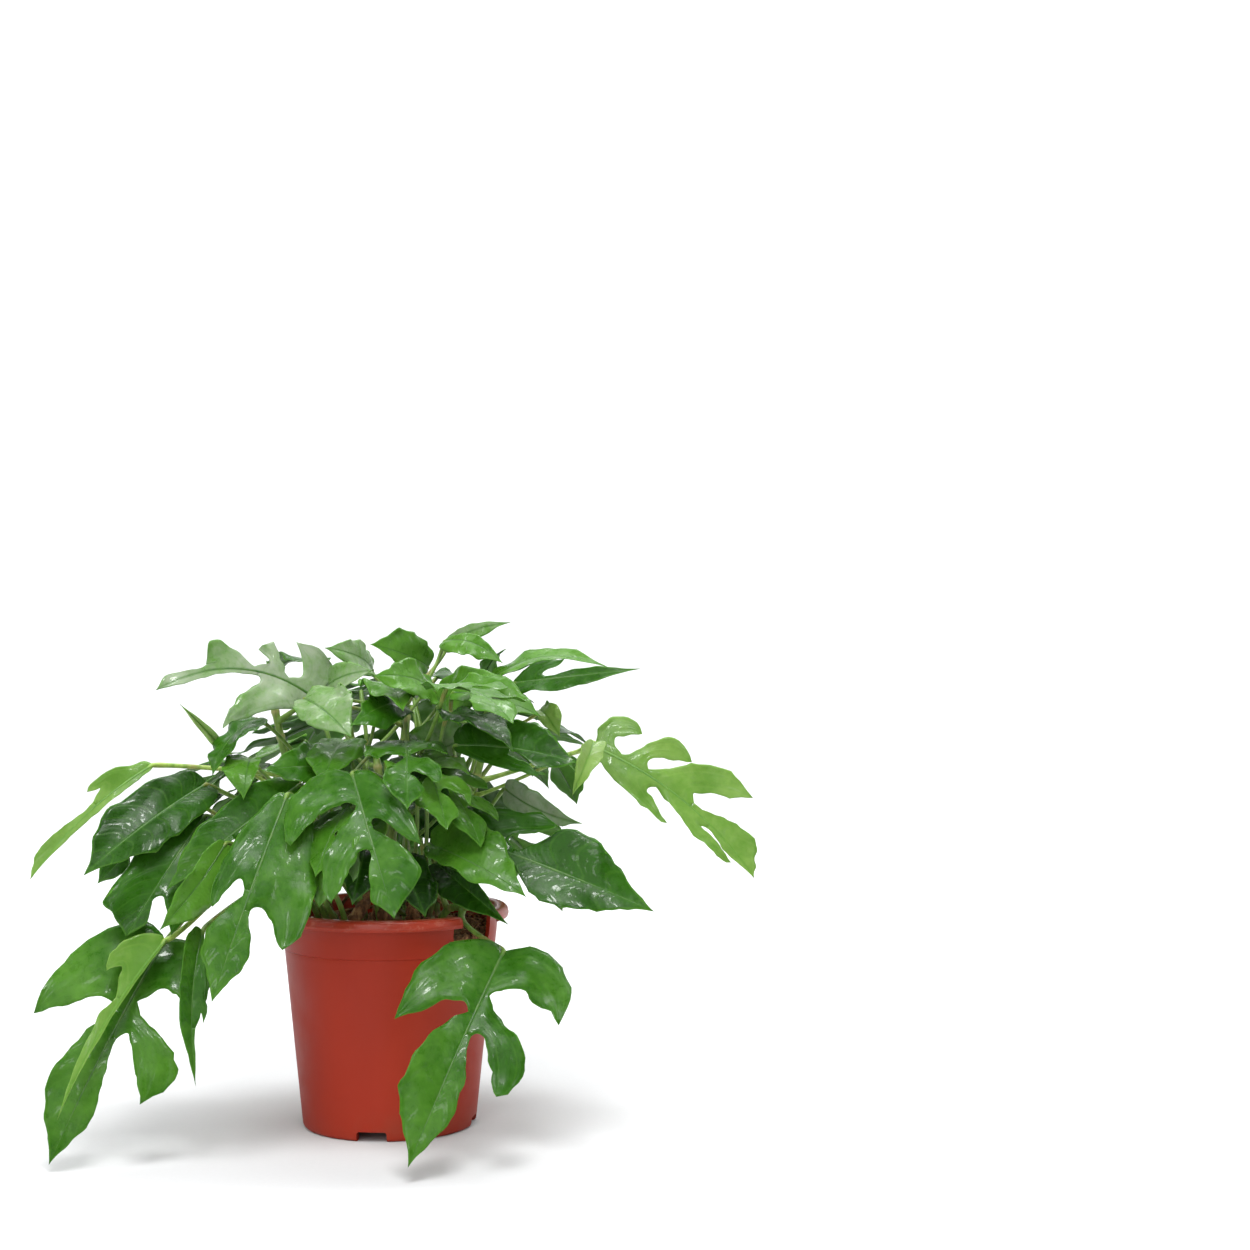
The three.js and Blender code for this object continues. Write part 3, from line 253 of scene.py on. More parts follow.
def sweep(path, radius, sides=10):
    # tube along a path: at each station a ring of the given radius stands square to the path's tangent;
    # the rings share one reference direction, the one the path leaves least, so they never twist
    path = np.asarray(path, float)
    tangent = np.gradient(path, axis=0)
    tangent /= np.linalg.norm(tangent, axis=1, keepdims=True)
    flat = np.linalg.svd(path - path.mean(0))[2][2]
    first = flat - tangent * (tangent @ flat)[:, None]
    first /= np.linalg.norm(first, axis=1, keepdims=True)
    second = np.cross(tangent, first)
    angle = np.linspace(0, 2 * np.pi, sides, endpoint=False)
    ring = np.cos(angle)[None, :, None] * first[:, None] + np.sin(angle)[None, :, None] * second[:, None]
    points = path[:, None] + ring * np.asarray(radius, float)[:, None, None]
    count = len(path) * sides
    faces = gridFaces(len(path), sides, wrapColumns=True).tolist()
    faces.append(list(range(sides - 1, -1, -1)))
    faces.append(list(range(count - sides, count)))
    return points.reshape(-1, 3), faces


def lathe(profile, segments):
    # body of revolution: each profile point (radius, height) goes round the z axis; points on the axis close it
    profile = np.asarray(profile, float)
    angle = np.linspace(0, 2 * np.pi, segments, endpoint=False)
    points = np.stack([
        profile[:, 0, None] * np.cos(angle), profile[:, 0, None] * np.sin(angle),
        np.repeat(profile[:, 1, None], segments, 1)], -1)
    return points.reshape(-1, 3), gridFaces(len(profile), segments, wrapColumns=True)


def finishPiece(piece, node=None):
    # the piece rides with the plant and may stand for a CAD node, whose part is then hidden
    if node:
        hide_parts(node)
    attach(piece, "root")


makeBackdrop()
print("backdrop made")


# pot

pot = {
    "height": 110.0, "rimRadius": 60.0, "rimHeight": 5.5, "rimRound": 2.6, "rimBulge": 0.3, "lipRound": 0.7,
    "wallTop": 54.4, "wallFoot": 43.6, "wall": 1.8, "skirt": 1.5, "wallFrom": 6.0, "wallRows": 30,
    "stepHeight": 90.0, "stepDepth": 0.6, "bandTop": 97.0,
    "floor": 7.0, "floorRound": 1.5, "channel": 4.0, "pad": 14.0, "ring": 5.0, "footRound": 2.2,
    "notchCount": 4, "notchAngle": -12.0, "notchWidth": 15.0, "notchHeight": 5.0, "notchRound": 1.5,
    "drainCount": 6, "drainRadius": 4.0, "drainCircle": 27.0, "drainSides": 24,
    "gapAngle": 50.0, "gapWidth": 29.0, "gapFloor": 93.0, "gapRound": 7.0,
    "notchCut": (30, 70), "gapCut": (35, 70), "drainCut": (-3, 3, 8, 12),  # where the cutters run, from and to
    "cutBelow": 20, "cutAbove": 140,
    "segments": 224, "creaseAngle": 38.0,
}

potFinish = {
    # rim is the lighter red of the rim band's painted highlight
    "wall": "#922713", "light": "#9a2e18", "dark": "#87220f", "rim": "#ad523b", "scuff": "#c98a76", "dust": "#7a4a36",
    "flow": 111.1, "grit": 3.846, "dirt": 14.29, "sheen": 22.22, "grain": 1.111, "drag": 3.333,  # pattern sizes, mm
    "rimFrom": 0.1035, "rimFull": 0.1075, "dustTop": 0.022,  # heights, m
    "rimHighlightTint": 0.14, "scuffTint": 0.25, "dustTint": 0.25,
    "roughness": (0.42, 0.56), "rimPolish": 0.1, "coat": 0.3, "coatRoughness": 0.22, "specular": 0.2, "ior": 1.49,
    "grainDepth": 0.00006, "dragDepth": 0.00008,  # metres
}


def makePotPlastic():
    # moulded polypropylene, satin: even terracotta red, a soft wide sheen, faint flow marks, pale scuffs on the rim,
    # and the rim band a lighter red as a painted highlight
    f = potFinish
    material, shader, add, place = newMaterial("moulded polypropylene, satin terracotta")
    tall = add("Mapping", {"Vector": place, "Scale": (1, 1, 0.25)})
    flow = add("TexNoise", {"Vector": tall, "Scale": perMetre / f["flow"], "Detail": 3.0})
    base = add("ValToRGB", {"Fac": flow}, stops=[(0.25, f["dark"]), (0.5, f["wall"]), (0.8, f["light"])])
    height = add("SeparateXYZ", {"Vector": place}, output="Z")
    rim = add("MapRange", {"Value": height, "From Min": f["rimFrom"], "From Max": f["rimFull"]}, **smooth)
    grit = add("TexNoise", {"Vector": place, "Scale": perMetre / f["grit"], "Detail": 3.0, "Roughness": 0.6})
    scuff = add("MapRange", {"Value": grit, "From Min": 0.5, "From Max": 0.72, "To Max": f["scuffTint"]}, **smooth)
    scuff = add("Math", {0: rim, 1: scuff}, **times)
    # painted highlight: the whole rim band is lightened towards the rim colour, standing for the top light on the bead
    paintedRimHighlight = add("Math", {0: rim, 1: f["rimHighlightTint"]}, **times)
    colour = add("Mix", {0: paintedRimHighlight, 6: base, 7: toLinear(f["rim"])}, **blended)
    colour = add("Mix", {0: scuff, 6: colour, 7: toLinear(f["scuff"])}, **blended)
    low = add("MapRange", {"Value": height, "From Min": f["dustTop"], "From Max": 0.0}, **smooth)
    dirt = add("TexNoise", {"Vector": place, "Scale": perMetre / f["dirt"]})
    dirt = add("MapRange", {"Value": dirt, "From Min": 0.4, "From Max": 0.75, "To Max": f["dustTint"]}, **smooth)
    dust = add("Math", {0: low, 1: dirt}, **times)
    colour = add("Mix", {0: dust, 6: colour, 7: toLinear(f["dust"])}, **blended)
    sheen = add("TexNoise", {"Vector": place, "Scale": perMetre / f["sheen"], "Detail": 3.0})
    satin = add("MapRange", {"Value": sheen, "From Min": 0.3, "From Max": 0.75,
                             "To Min": f["roughness"][0], "To Max": f["roughness"][1]}, **smooth)
    rough = add("Math", {0: rim, 1: -f["rimPolish"], 2: satin}, **timesPlus)  # the rim is polished by hands
    coat = add("Math", {0: rim, 1: f["coat"]}, **times)
    grain = add("TexNoise", {"Vector": place, "Scale": perMetre / f["grain"]})
    grained = add("Bump", {"Height": grain, "Distance": f["grainDepth"], "Strength": 0.6})
    upright = add("Mapping", {"Vector": place, "Scale": (1, 1, 0.08)})  # marks left by the mould
    drag = add("TexNoise", {"Vector": upright, "Scale": perMetre / f["drag"]})
    normal = add("Bump", {"Height": drag, "Distance": f["dragDepth"], "Strength": 0.5, "Normal": grained})
    feed(shader, {"Base Color": colour, "Roughness": rough, "Normal": normal, "Coat Weight": coat,
                  "IOR": f["ior"], "Specular IOR Level": f["specular"], "Coat Roughness": f["coatRoughness"]})
    return material


def roundedBlock(width, floor, top, corner, near, far, turn):
    # block across the wall with two rounded lower corners, turned about the z axis
    half = width / 2
    bend = np.linspace(0, np.pi / 2, 9)
    left = np.stack([-half + corner - corner * np.cos(bend), floor + corner - corner * np.sin(bend)], -1)
    outline = np.concatenate([[[-half, top]], left, left[::-1] * [-1, 1], [[half, top]]])
    count = len(outline)
    points = np.concatenate([np.insert(outline, 1, -near, axis=1), np.insert(outline, 1, -far, axis=1)])
    ring = np.arange(count)
    sides = np.stack([ring, (ring + 1) % count, (ring + 1) % count + count, ring + count], -1).tolist()
    a = np.radians(turn)
    spin = np.array([[np.cos(a), np.sin(a), 0], [-np.sin(a), np.cos(a), 0], [0, 0, 1]])
    return points @ spin, sides + [ring[::-1].tolist(), (ring + count).tolist()]


def footNotch(turn):
    # a rounded block upside down, its rounded ceiling at the notch's height
    p = pot
    block = p["notchWidth"], -p["cutBelow"], p["notchHeight"], p["notchRound"], *p["notchCut"], turn
    points, faces = roundedBlock(*block)
    return points * [1, 1, -1] + [0, 0, p["notchHeight"] - p["cutBelow"]], faces


def drainHole(turn):
    # upright round cutter that stands on the drain circle
    x, y = pot["drainCircle"] * np.cos(turn), pot["drainCircle"] * np.sin(turn)
    return sweep([[x, y, z] for z in pot["drainCut"]], [pot["drainRadius"]] * len(pot["drainCut"]), pot["drainSides"])


def cutAway(piece, cutters):
    # Boolean difference, applied; the cutters are removed
    for points, faces in cutters:
        cutter = addMesh("cutter", points * mm, faces, [])
        grid = bmesh.new()
        grid.from_mesh(cutter.data)
        bmesh.ops.recalc_face_normals(grid, faces=grid.faces)
        grid.to_mesh(cutter.data)
        grid.free()
        cut = piece.modifiers.new("cut", "BOOLEAN")
        cut.operation, cut.object, cut.solver = "DIFFERENCE", cutter, "EXACT"
        result = bpy.data.meshes.new_from_object(piece.evaluated_get(bpy.context.evaluated_depsgraph_get()))
        piece.modifiers.clear()
        piece.data = result
        bpy.data.objects.remove(cutter)


def roundCorner(corner, toward, away, size, steps=5):
    # quarter turn between two directions at a corner: quadratic through the corner
    corner, toward, away = (np.asarray(p, float) for p in (corner, toward, away))
    t = np.linspace(0, 1, steps)[:, None]
    start, end = corner + toward * size, corner + away * size
    return (1 - t) ** 2 * start + 2 * (1 - t) * t * corner + t ** 2 * end


def potProfile():
    # (radius, height) from the middle of the underside round the foot, up the wall, over the rim and down inside
    p = pot
    slope = (p["wallTop"] - p["wallFoot"]) / (p["height"] - p["rimHeight"])
    outer = lambda z: p["wallFoot"] + slope * z
    inner = lambda z: outer(z) - p["wall"]
    band, top, step, lip = p["height"] - p["rimHeight"], p["height"], p["stepHeight"], p["lipRound"]
    lid, skirt = top - p["skirt"], p["rimRadius"] - p["skirt"]
    ringInner = p["wallFoot"] - p["ring"]
    bead = p["rimHeight"] - p["rimRound"]
    belly = np.linspace(0.1, 0.9, 9)  # places on the rim's slightly bulged outer face
    outside = np.linspace(p["wallFrom"], step - 0.4, p["wallRows"])
    inside = np.linspace(band, p["floor"] + 1, p["wallRows"])
    rows = [
        [[0, 0], [p["pad"], 0], [p["pad"] + 1, p["channel"]], [ringInner - 1, p["channel"]], [ringInner, 0]],
        roundCorner([p["wallFoot"], 0], [-1, 0], [slope, 1], p["footRound"]),
        np.stack([outer(outside), outside], -1),
        [[outer(step) - p["stepDepth"] * 0.2, step], [outer(step) + p["stepDepth"] * 0.8, step + 0.5],
         [outer(p["bandTop"]) + p["stepDepth"] * 0.8, p["bandTop"]],
         [outer(lid) + 0.2, lid - 0.8], [outer(lid) + 0.9, lid]],
        roundCorner([skirt, lid], [-1, 0], [0, -1], lip),
        roundCorner([skirt, band], [0, 1], [1, 0], 0.4),
        roundCorner([p["rimRadius"], band], [-1, 0], [0, 1], lip),
        np.stack([p["rimRadius"] + p["rimBulge"] * np.sin(np.pi * belly), band + lip + (bead - lip) * belly], -1),
        roundCorner([p["rimRadius"], top], [0, -1], [-1, 0], p["rimRound"], 8),
        roundCorner([inner(top), top], [1, 0], [-slope, -1], p["rimRound"], 8),
        np.stack([inner(inside), inside], -1),
        roundCorner([inner(p["floor"]), p["floor"]], [slope, 1], [-1, 0], p["floorRound"]),
        [[0, p["floor"]]],
    ]
    return np.concatenate([np.asarray(row, float) for row in rows])


def makePot():
    # the turned profile, less its foot notches, its drain holes and the gap in its rim
    p = pot
    points, faces = lathe(potProfile(), p["segments"])
    piece = addMesh("plasticPot", points * mm, faces, [makePotPlastic()])
    weld(piece.data)
    cutters = [footNotch(p["notchAngle"] + 360 / p["notchCount"] * i) for i in range(p["notchCount"])]
    cutters += [drainHole(2 * np.pi * i / p["drainCount"]) for i in range(p["drainCount"])]
    gap = p["gapWidth"], p["gapFloor"], p["cutAbove"], p["gapRound"], *p["gapCut"], p["gapAngle"]
    cutters.append(roundedBlock(*gap))
    cutAway(piece, cutters)
    piece.data.shade_smooth()
    piece.data.set_sharp_from_angle(angle=np.radians(p["creaseAngle"]))
    finishPiece(piece, "pot")


makePot()
print("pot made")


# soil

soil = {
    "top": 101.0, "foot": 7.3, "clear": 0.6, "settled": 0.6,  # mm
    "swell": 0.54, "crumbs": 0.8, "dish": 1.2, "dishReach": 52.0,  # relief of the surface, mm
    "segments": 160, "surfaceRings": 46, "wallRings": 24,
    "chips": 420, "fibres": 160, "perlite": 26, "spread": 50.0, "tip": 0.35, "seed": 5,
}

# damp peat and coir: near black, crumbly, no gloss, with short pale fibres
peatLook = {
    "grain": (2.381, 5.0, 0.65, (1, 1, 1)), "patch": (0.6667, 2.0, 0.5, (1, 1, 1)),
    "colours": [(0.3, "#3a2818"), (0.52, "#65472c"), (0.72, "#a27b50")], "tint": "#8a6a45", "tinted": (0.62, 0.75, 0.5),
    "relief": [(0, 0.0012, 1.0), (1, 0.0004, 0.8)], "roughness": 0.93, "specular": 0.25,
}

# composted pine bark: red-brown flakes, dull, streaked along the grain
flakeLook = {
    "grain": (2.0, 4.0, 0.6, (1, 0.3, 1)), "patch": (7.692, 2.0, 0.5, (1, 1, 1)),
    "colours": [(0.3, "#38241a"), (0.5, "#6f482c"), (0.75, "#a87c56")], "tint": "#1f150d", "tinted": (0.4, 0.7, 0.6),
    "relief": [(0, 0.0005, 1.0)], "roughness": 0.85, "specular": 0.3,
}

perliteLook = {"shade": "#b9b2a2", "white": "#e6e1d5", "pit": 0.5556, "depth": 0.0003, "roughness": 0.95}


def potInner(z):
    # inner radius of the pot's wall at a height
    slope = (pot["wallTop"] - pot["wallFoot"]) / (pot["height"] - pot["rimHeight"])
    return pot["wallFoot"] + slope * np.asarray(z, float) - pot["wall"] - soil["clear"]


def soilHeight(xy):
    # level of the soil's surface: broad swells and small crumbs, a little lower against the wall
    swell = waves(xy, 3, 22, 60, 20) * soil["swell"]
    crumbs = waves(xy, 4, 2.5, 9, 60) * soil["crumbs"]
    dish = -soil["dish"] * (np.linalg.norm(xy, axis=-1) / soil["dishReach"]) ** 6
    return soil["top"] - soil["settled"] + swell + crumbs + dish


def makeSoil():
    # closed body: rings from the foot up the wall and over the surface to its middle; the surface rings take
    # their height from soilHeight and the wall rings are pressed in and out by crumbs
    segments = soil["segments"]
    angle = np.linspace(0, 2 * np.pi, segments, endpoint=False)
    circle = np.stack([np.cos(angle), np.sin(angle)], -1)
    reach = potInner(soil["top"] - 2)
    rings = []
    for r in np.linspace(0, 1, soil["surfaceRings"])[::-1]:
        xy = circle * reach * r
        rings.append(np.column_stack([xy, soilHeight(xy)]))
    wall = []
    for z in np.linspace(soil["foot"], soil["top"] - 2.6, soil["wallRings"]):
        ring = np.column_stack([circle * potInner(z), np.full(segments, z)])
        press = 1 - 0.004 * (1 + waves(ring, 8, 3, 10))
        wall.append(ring * np.column_stack([press, press, np.ones(segments)]))
    foot = [np.column_stack([circle * 0, np.full(segments, soil["foot"])])]
    faces = gridFaces(1 + len(wall) + len(rings), segments, wrapColumns=True)
    peat = makeEarthy("damp peat and coir", peatLook)
    piece = addMesh("pottingSoil", np.concatenate(foot + wall + rings) * mm, faces, [peat])
    weld(piece.data)
    finishPiece(piece, "soil")


def scatter(name, count, seed, size, slab, material, lift=0.4):
    # many small lumps in one mesh: each is one eight-cornered block with its corners pushed about,
    # scaled by the size range, tipped at random and laid on the soil's surface
    random = np.random.default_rng(seed)
    radius = soil["spread"] * np.sqrt(random.uniform(0, 1, count))
    angle = random.uniform(0, 2 * np.pi, count)
    xy = np.stack([radius * np.cos(angle), radius * np.sin(angle)], -1)
    corner = np.array([[x, y, z] for x in (-1, 1) for y in (-1, 1) for z in (-1, 1)], float)
    lump = corner[None] * random.uniform(0.55, 1.0, (count, 8, 3))
    lump = lump * random.uniform(*size, (count, 1, 1)) * np.asarray(slab) / 2
    turn = random.uniform(0, 2 * np.pi, count)
    tip = random.normal(0, soil["tip"], (count, 2))
    c, s = np.cos(turn)[:, None], np.sin(turn)[:, None]
    x = lump[..., 0] * c - lump[..., 1] * s
    y = lump[..., 0] * s + lump[..., 1] * c
    z = lump[..., 2] + x * tip[:, :1] + y * tip[:, 1:]
    ground = soilHeight(xy)[:, None] + lift
    points = np.stack([x + xy[:, :1], y + xy[:, 1:], z + ground], -1).reshape(-1, 3)
    box = np.array([[0, 1, 3, 2], [4, 6, 7, 5], [0, 4, 5, 1], [2, 3, 7, 6], [0, 2, 6, 4], [1, 5, 7, 3]])
    faces = (box[None] + 8 * np.arange(count)[:, None, None]).reshape(-1, 4)
    finishPiece(addMesh(name, points * mm, faces, [material], smoothShaded=False))


def makePerlite():
    # expanded perlite: chalky white crumbs with pits
    f = perliteLook
    material, shader, add, place = newMaterial("expanded perlite")
    pit = add("TexNoise", {"Vector": place, "Scale": perMetre / f["pit"], "Detail": 3.0})
    colour = add("ValToRGB", {"Fac": pit}, stops=[(0.3, f["shade"]), (0.6, f["white"])])
    normal = add("Bump", {"Height": pit, "Distance": f["depth"], "Strength": 1.0})
    feed(shader, {"Base Color": colour, "Roughness": f["roughness"], "Normal": normal})
    return material


makeSoil()
flakes = makeEarthy("composted pine bark", flakeLook)
scatter("barkChips", soil["chips"], soil["seed"], (2.0, 6.5), (1.0, 0.6, 0.3), flakes)
scatter("coirFibres", soil["fibres"], soil["seed"] + 1, (5.0, 12.0), (1.0, 0.05, 0.05), flakes, lift=0.8)
scatter("perliteCrumbs", soil["perlite"], soil["seed"] + 2, (1.2, 2.4), (1.0, 0.9, 0.8), makePerlite())
print("soil made")


# stems

stem = {
    "sides": 14, "stations": 90, "jointSpacing": 13.0, "jointSwell": 0.22, "jointWidth": 1.3,
    "tipLength": 9.0, "tipSteps": 12, "sunk": 2.0,  # mm, the last is how deep the foot goes into the soil
    "footWidth": 1.08, "taper": 0.3,  # of the radius
}

stemFinish = {
    "green": ("#55742c", "#6f8f3c", "#93ad5c"), "brown": ("#3d2a18", "#6e5330"), "ring": "#a89a68",
    "patch": 5.263, "grain": 1.429,  # pattern sizes, mm
    "woodyTo": 0.34, "woody": 0.75, "patchy": 0.35, "ringTint": 0.6, "roughness": 0.46, "specular": 0.4,
}

# radius and route in millimetres, from the soil upwards
stemTable = {
    "left": (2.4, [[-14, -6, 101.3], [-14, -6, 109], [-24, -4, 125], [-38, -2, 152], [-52, 0, 185], [-58, 2, 210]]),
    "centre": (2.6, [[2, 10, 101.3], [2, 10, 108], [0, 12, 132], [4, 14, 165], [8, 16, 200], [8, 20, 222]]),
    "right": (2.4, [[20, 4, 101.3], [20, 4, 109], [28, 6, 122], [38, 9, 150], [46, 12, 180], [54, 14, 208]]),
    "back": (2.6, [[4, 34, 101.3], [4, 34, 108], [2, 40, 128], [-4, 48, 162], [-7, 53, 180]]),
    "low_left": (2.0, [[-28, -16, 101.3], [-28, -16, 107], [-44, -20, 116], [-62, -24, 130], [-78, -28, 138]]),
    "front": (2.0, [[26, -18, 101.3], [26, -18, 106], [30, -22, 111], [36, -30, 112]]),
}


def routePoint(route, t):
    # centripetal Catmull-Rom curve: the cubic between two route points takes its end slopes from the
    # neighbours, each span weighted by the square root of its length; beyond the ends the route is mirrored
    route = np.asarray(route, float)
    ends = np.concatenate([[2 * route[0] - route[1]], route, [2 * route[-1] - route[-2]]])
    place = np.atleast_1d(t) * (len(route) - 1)
    span = np.clip(np.floor(place).astype(int), 0, len(route) - 2)
    w = (place - span)[:, None]
    a, b, c, d = (ends[span + i] for i in range(4))
    near, mid, far = (np.sqrt(np.linalg.norm(q - p, axis=1, keepdims=True)) for p, q in ((a, b), (b, c), (c, d)))
    slopeB = ((b - a) / near - (c - a) / (near + mid) + (c - b) / mid) * mid
    slopeC = ((c - b) / mid - (d - b) / (mid + far) + (d - c) / far) * mid
    return (b + slopeB * w + (-3 * b + 3 * c - 2 * slopeB - slopeC) * w ** 2
            + (2 * b - 2 * c + slopeB + slopeC) * w ** 3)


def makeStemSkin():
    # living climbing stem: waxy green with brown corky patches near the soil and pale rings at the joints
    f = stemFinish
    material, shader, add, place = newMaterial("waxy green stem")
    along = add("Attribute", output="Fac", attribute_name="along")
    ring = add("Attribute", output="Fac", attribute_name="ring")
    low = add("MapRange", {"Value": along, "From Min": 0.0, "From Max": f["woodyTo"],
                           "To Min": f["woody"], "To Max": 0.0}, **smooth)
    longPatch = add("Mapping", {"Vector": place, "Scale": (1, 1, 0.35)})
    patch = add("TexNoise", {"Vector": longPatch, "Scale": perMetre / f["patch"], "Detail": 4.0, "Roughness": 0.6})
    patch = add("MapRange", {"Value": patch, "From Min": 0.42, "From Max": 0.66, "To Max": f["patchy"]}, **smooth)
    lengthwise = add("Mapping", {"Vector": place, "Scale": (1, 1, 0.15)})
    grain = add("TexNoise", {"Vector": lengthwise, "Scale": perMetre / f["grain"], "Detail": 3.0})
    green = add("ValToRGB", {"Fac": grain}, stops=list(zip((0.3, 0.55, 0.8), f["green"])))
    brown = add("ValToRGB", {"Fac": grain}, stops=list(zip((0.3, 0.6), f["brown"])))
    cork = add("Math", {0: low, 1: patch}, use_clamp=True, **plus)
    body = add("Mix", {0: cork, 6: green, 7: brown}, **blended)
    ring = add("Math", {0: ring, 1: f["ringTint"]}, **times)
    colour = add("Mix", {0: ring, 6: body, 7: toLinear(f["ring"])}, **blended)
    normal = add("Bump", {"Height": grain, "Distance": 0.0002, "Strength": 0.7})
    feed(shader, {"Base Color": colour, "Roughness": f["roughness"], "Normal": normal,
                  "Specular IOR Level": f["specular"]})
    return material


def setAttribute(mesh, name, values):
    # one number for each point, which a material reads by name
    layer = mesh.attributes.new(name, "FLOAT", "POINT")
    layer.data.foreach_set("value", np.asarray(values, np.float32).ravel())


def makeStem(name, radius, route, material, node):
    # tube along the route: its radius swells in a narrow ring at each joint and runs out into a pointed growing tip
    s = stem
    t = np.linspace(0, 1, s["stations"])
    path = routePoint(route, t)
    path[0, 2] -= s["sunk"]
    ahead = path[-1] - path[-3]
    ahead /= np.linalg.norm(ahead)
    beyond = np.linspace(0, 1, s["tipSteps"])[1:, None]
    path = np.concatenate([path, path[-1] + ahead * s["tipLength"] * beyond])
    t = np.concatenate([t, np.ones(len(beyond))])
    run = np.concatenate([[0], np.cumsum(np.linalg.norm(np.diff(path, axis=0), axis=1))])
    joint = np.exp(-((np.mod(run + 4, s["jointSpacing"]) - s["jointSpacing"] / 2) / s["jointWidth"]) ** 2)
    point = np.clip((run[-1] - run) / s["tipLength"], 0.02, 1) ** 0.7
    taper = (s["footWidth"] - s["taper"] * t) * point
    points, faces = sweep(path, radius * taper * (1 + s["jointSwell"] * joint * point), s["sides"])
    piece = addMesh(name, points * mm, faces, [material])
    setAttribute(piece.data, "along", np.repeat(t, s["sides"]))
    setAttribute(piece.data, "ring", np.repeat(joint, s["sides"]))
    finishPiece(piece, node)


stemSkin = makeStemSkin()
for stemName, (stemRadius, stemRoute) in stemTable.items():
    makeStem("stem_" + stemName, stemRadius, stemRoute, stemSkin, "stem_" + stemName)
print("stems made")


# leaves

leaf = {
    "thickness": 0.4, "margin": 0.14,  # across the blade and at its edge, mm
    "web": 0.028, "curlSpan": 0.35,
    "lobeRows": 15, "lobeColumns": 20, "endRows": 30, "endColumns": 12, "seedStep": 7, "seedFrom": 11,
    "quilt": 0.16, "fineQuilt": 0.03, "arch": 1.1, "ripple": 1.0, "nick": 0.45,  # relief and waver of the margin, mm
    "quiltFrom": 9.0, "archFrom": 12.0, "flatEdge": 3.0, "rippleIn": 4.0, "nickIn": 3.0,  # distances, mm
    "petiole": 1.25, "rise": 0.35, "petioleStations": 34, "ribStations": 30, "petioleSides": 10,
    "sheath": 0.55, "sheathLength": 7.0, "knee": 0.16, "kneeAt": 5.0, "kneeLength": 3.5,
}

# handles of the margin curves, in blade lengths unless a note says otherwise
margin = {
    "neckOut": 0.045, "neckOn": 0.1, "neckBack": 0.09,
    "cheekOut": 0.38, "cheekBack": 0.45,  # of the lobe's reach
    "fullReach": 0.3, "tipLead": 0.33, "firstTipLead": 0.3,
    "farIn": 0.16, "farBack": 0.12, "shoulderAfter": 0.08,
    "endOut": 0.02, "flareOut": 0.45, "endRise": 0.4, "flareRise": 0.28, "shoulderBack": 0.5,  # of the end part
    "heartOut": 0.95, "heartBack": 0.16, "heartRise": 0.45,
    "tailOn": 0.38, "tailIn": 0.16, "tailLate": 0.72,  # of the way from shoulder to tip
}


def bladeRow(stemName, at, base, tip, face, rightWide, leftWide, right=(), left=(), sag=5, bend=0, fold=8, curl=14):
    # stem and place on it; the blade's base and tip and the way its upper side faces (mm); each half's end part as
    # [width, its place, flare] and its lobes as [sinus, tip out, tip along, hook], in blade lengths;
    # sag and bend of the midrib (mm); fold and curl (degrees)
    return {"stem": (stemName, at), "base": base, "tip": tip, "face": face, "right": right, "left": left,
            "rightWide": rightWide, "leftWide": leftWide, "sag": sag, "bend": bend, "fold": fold, "curl": curl}


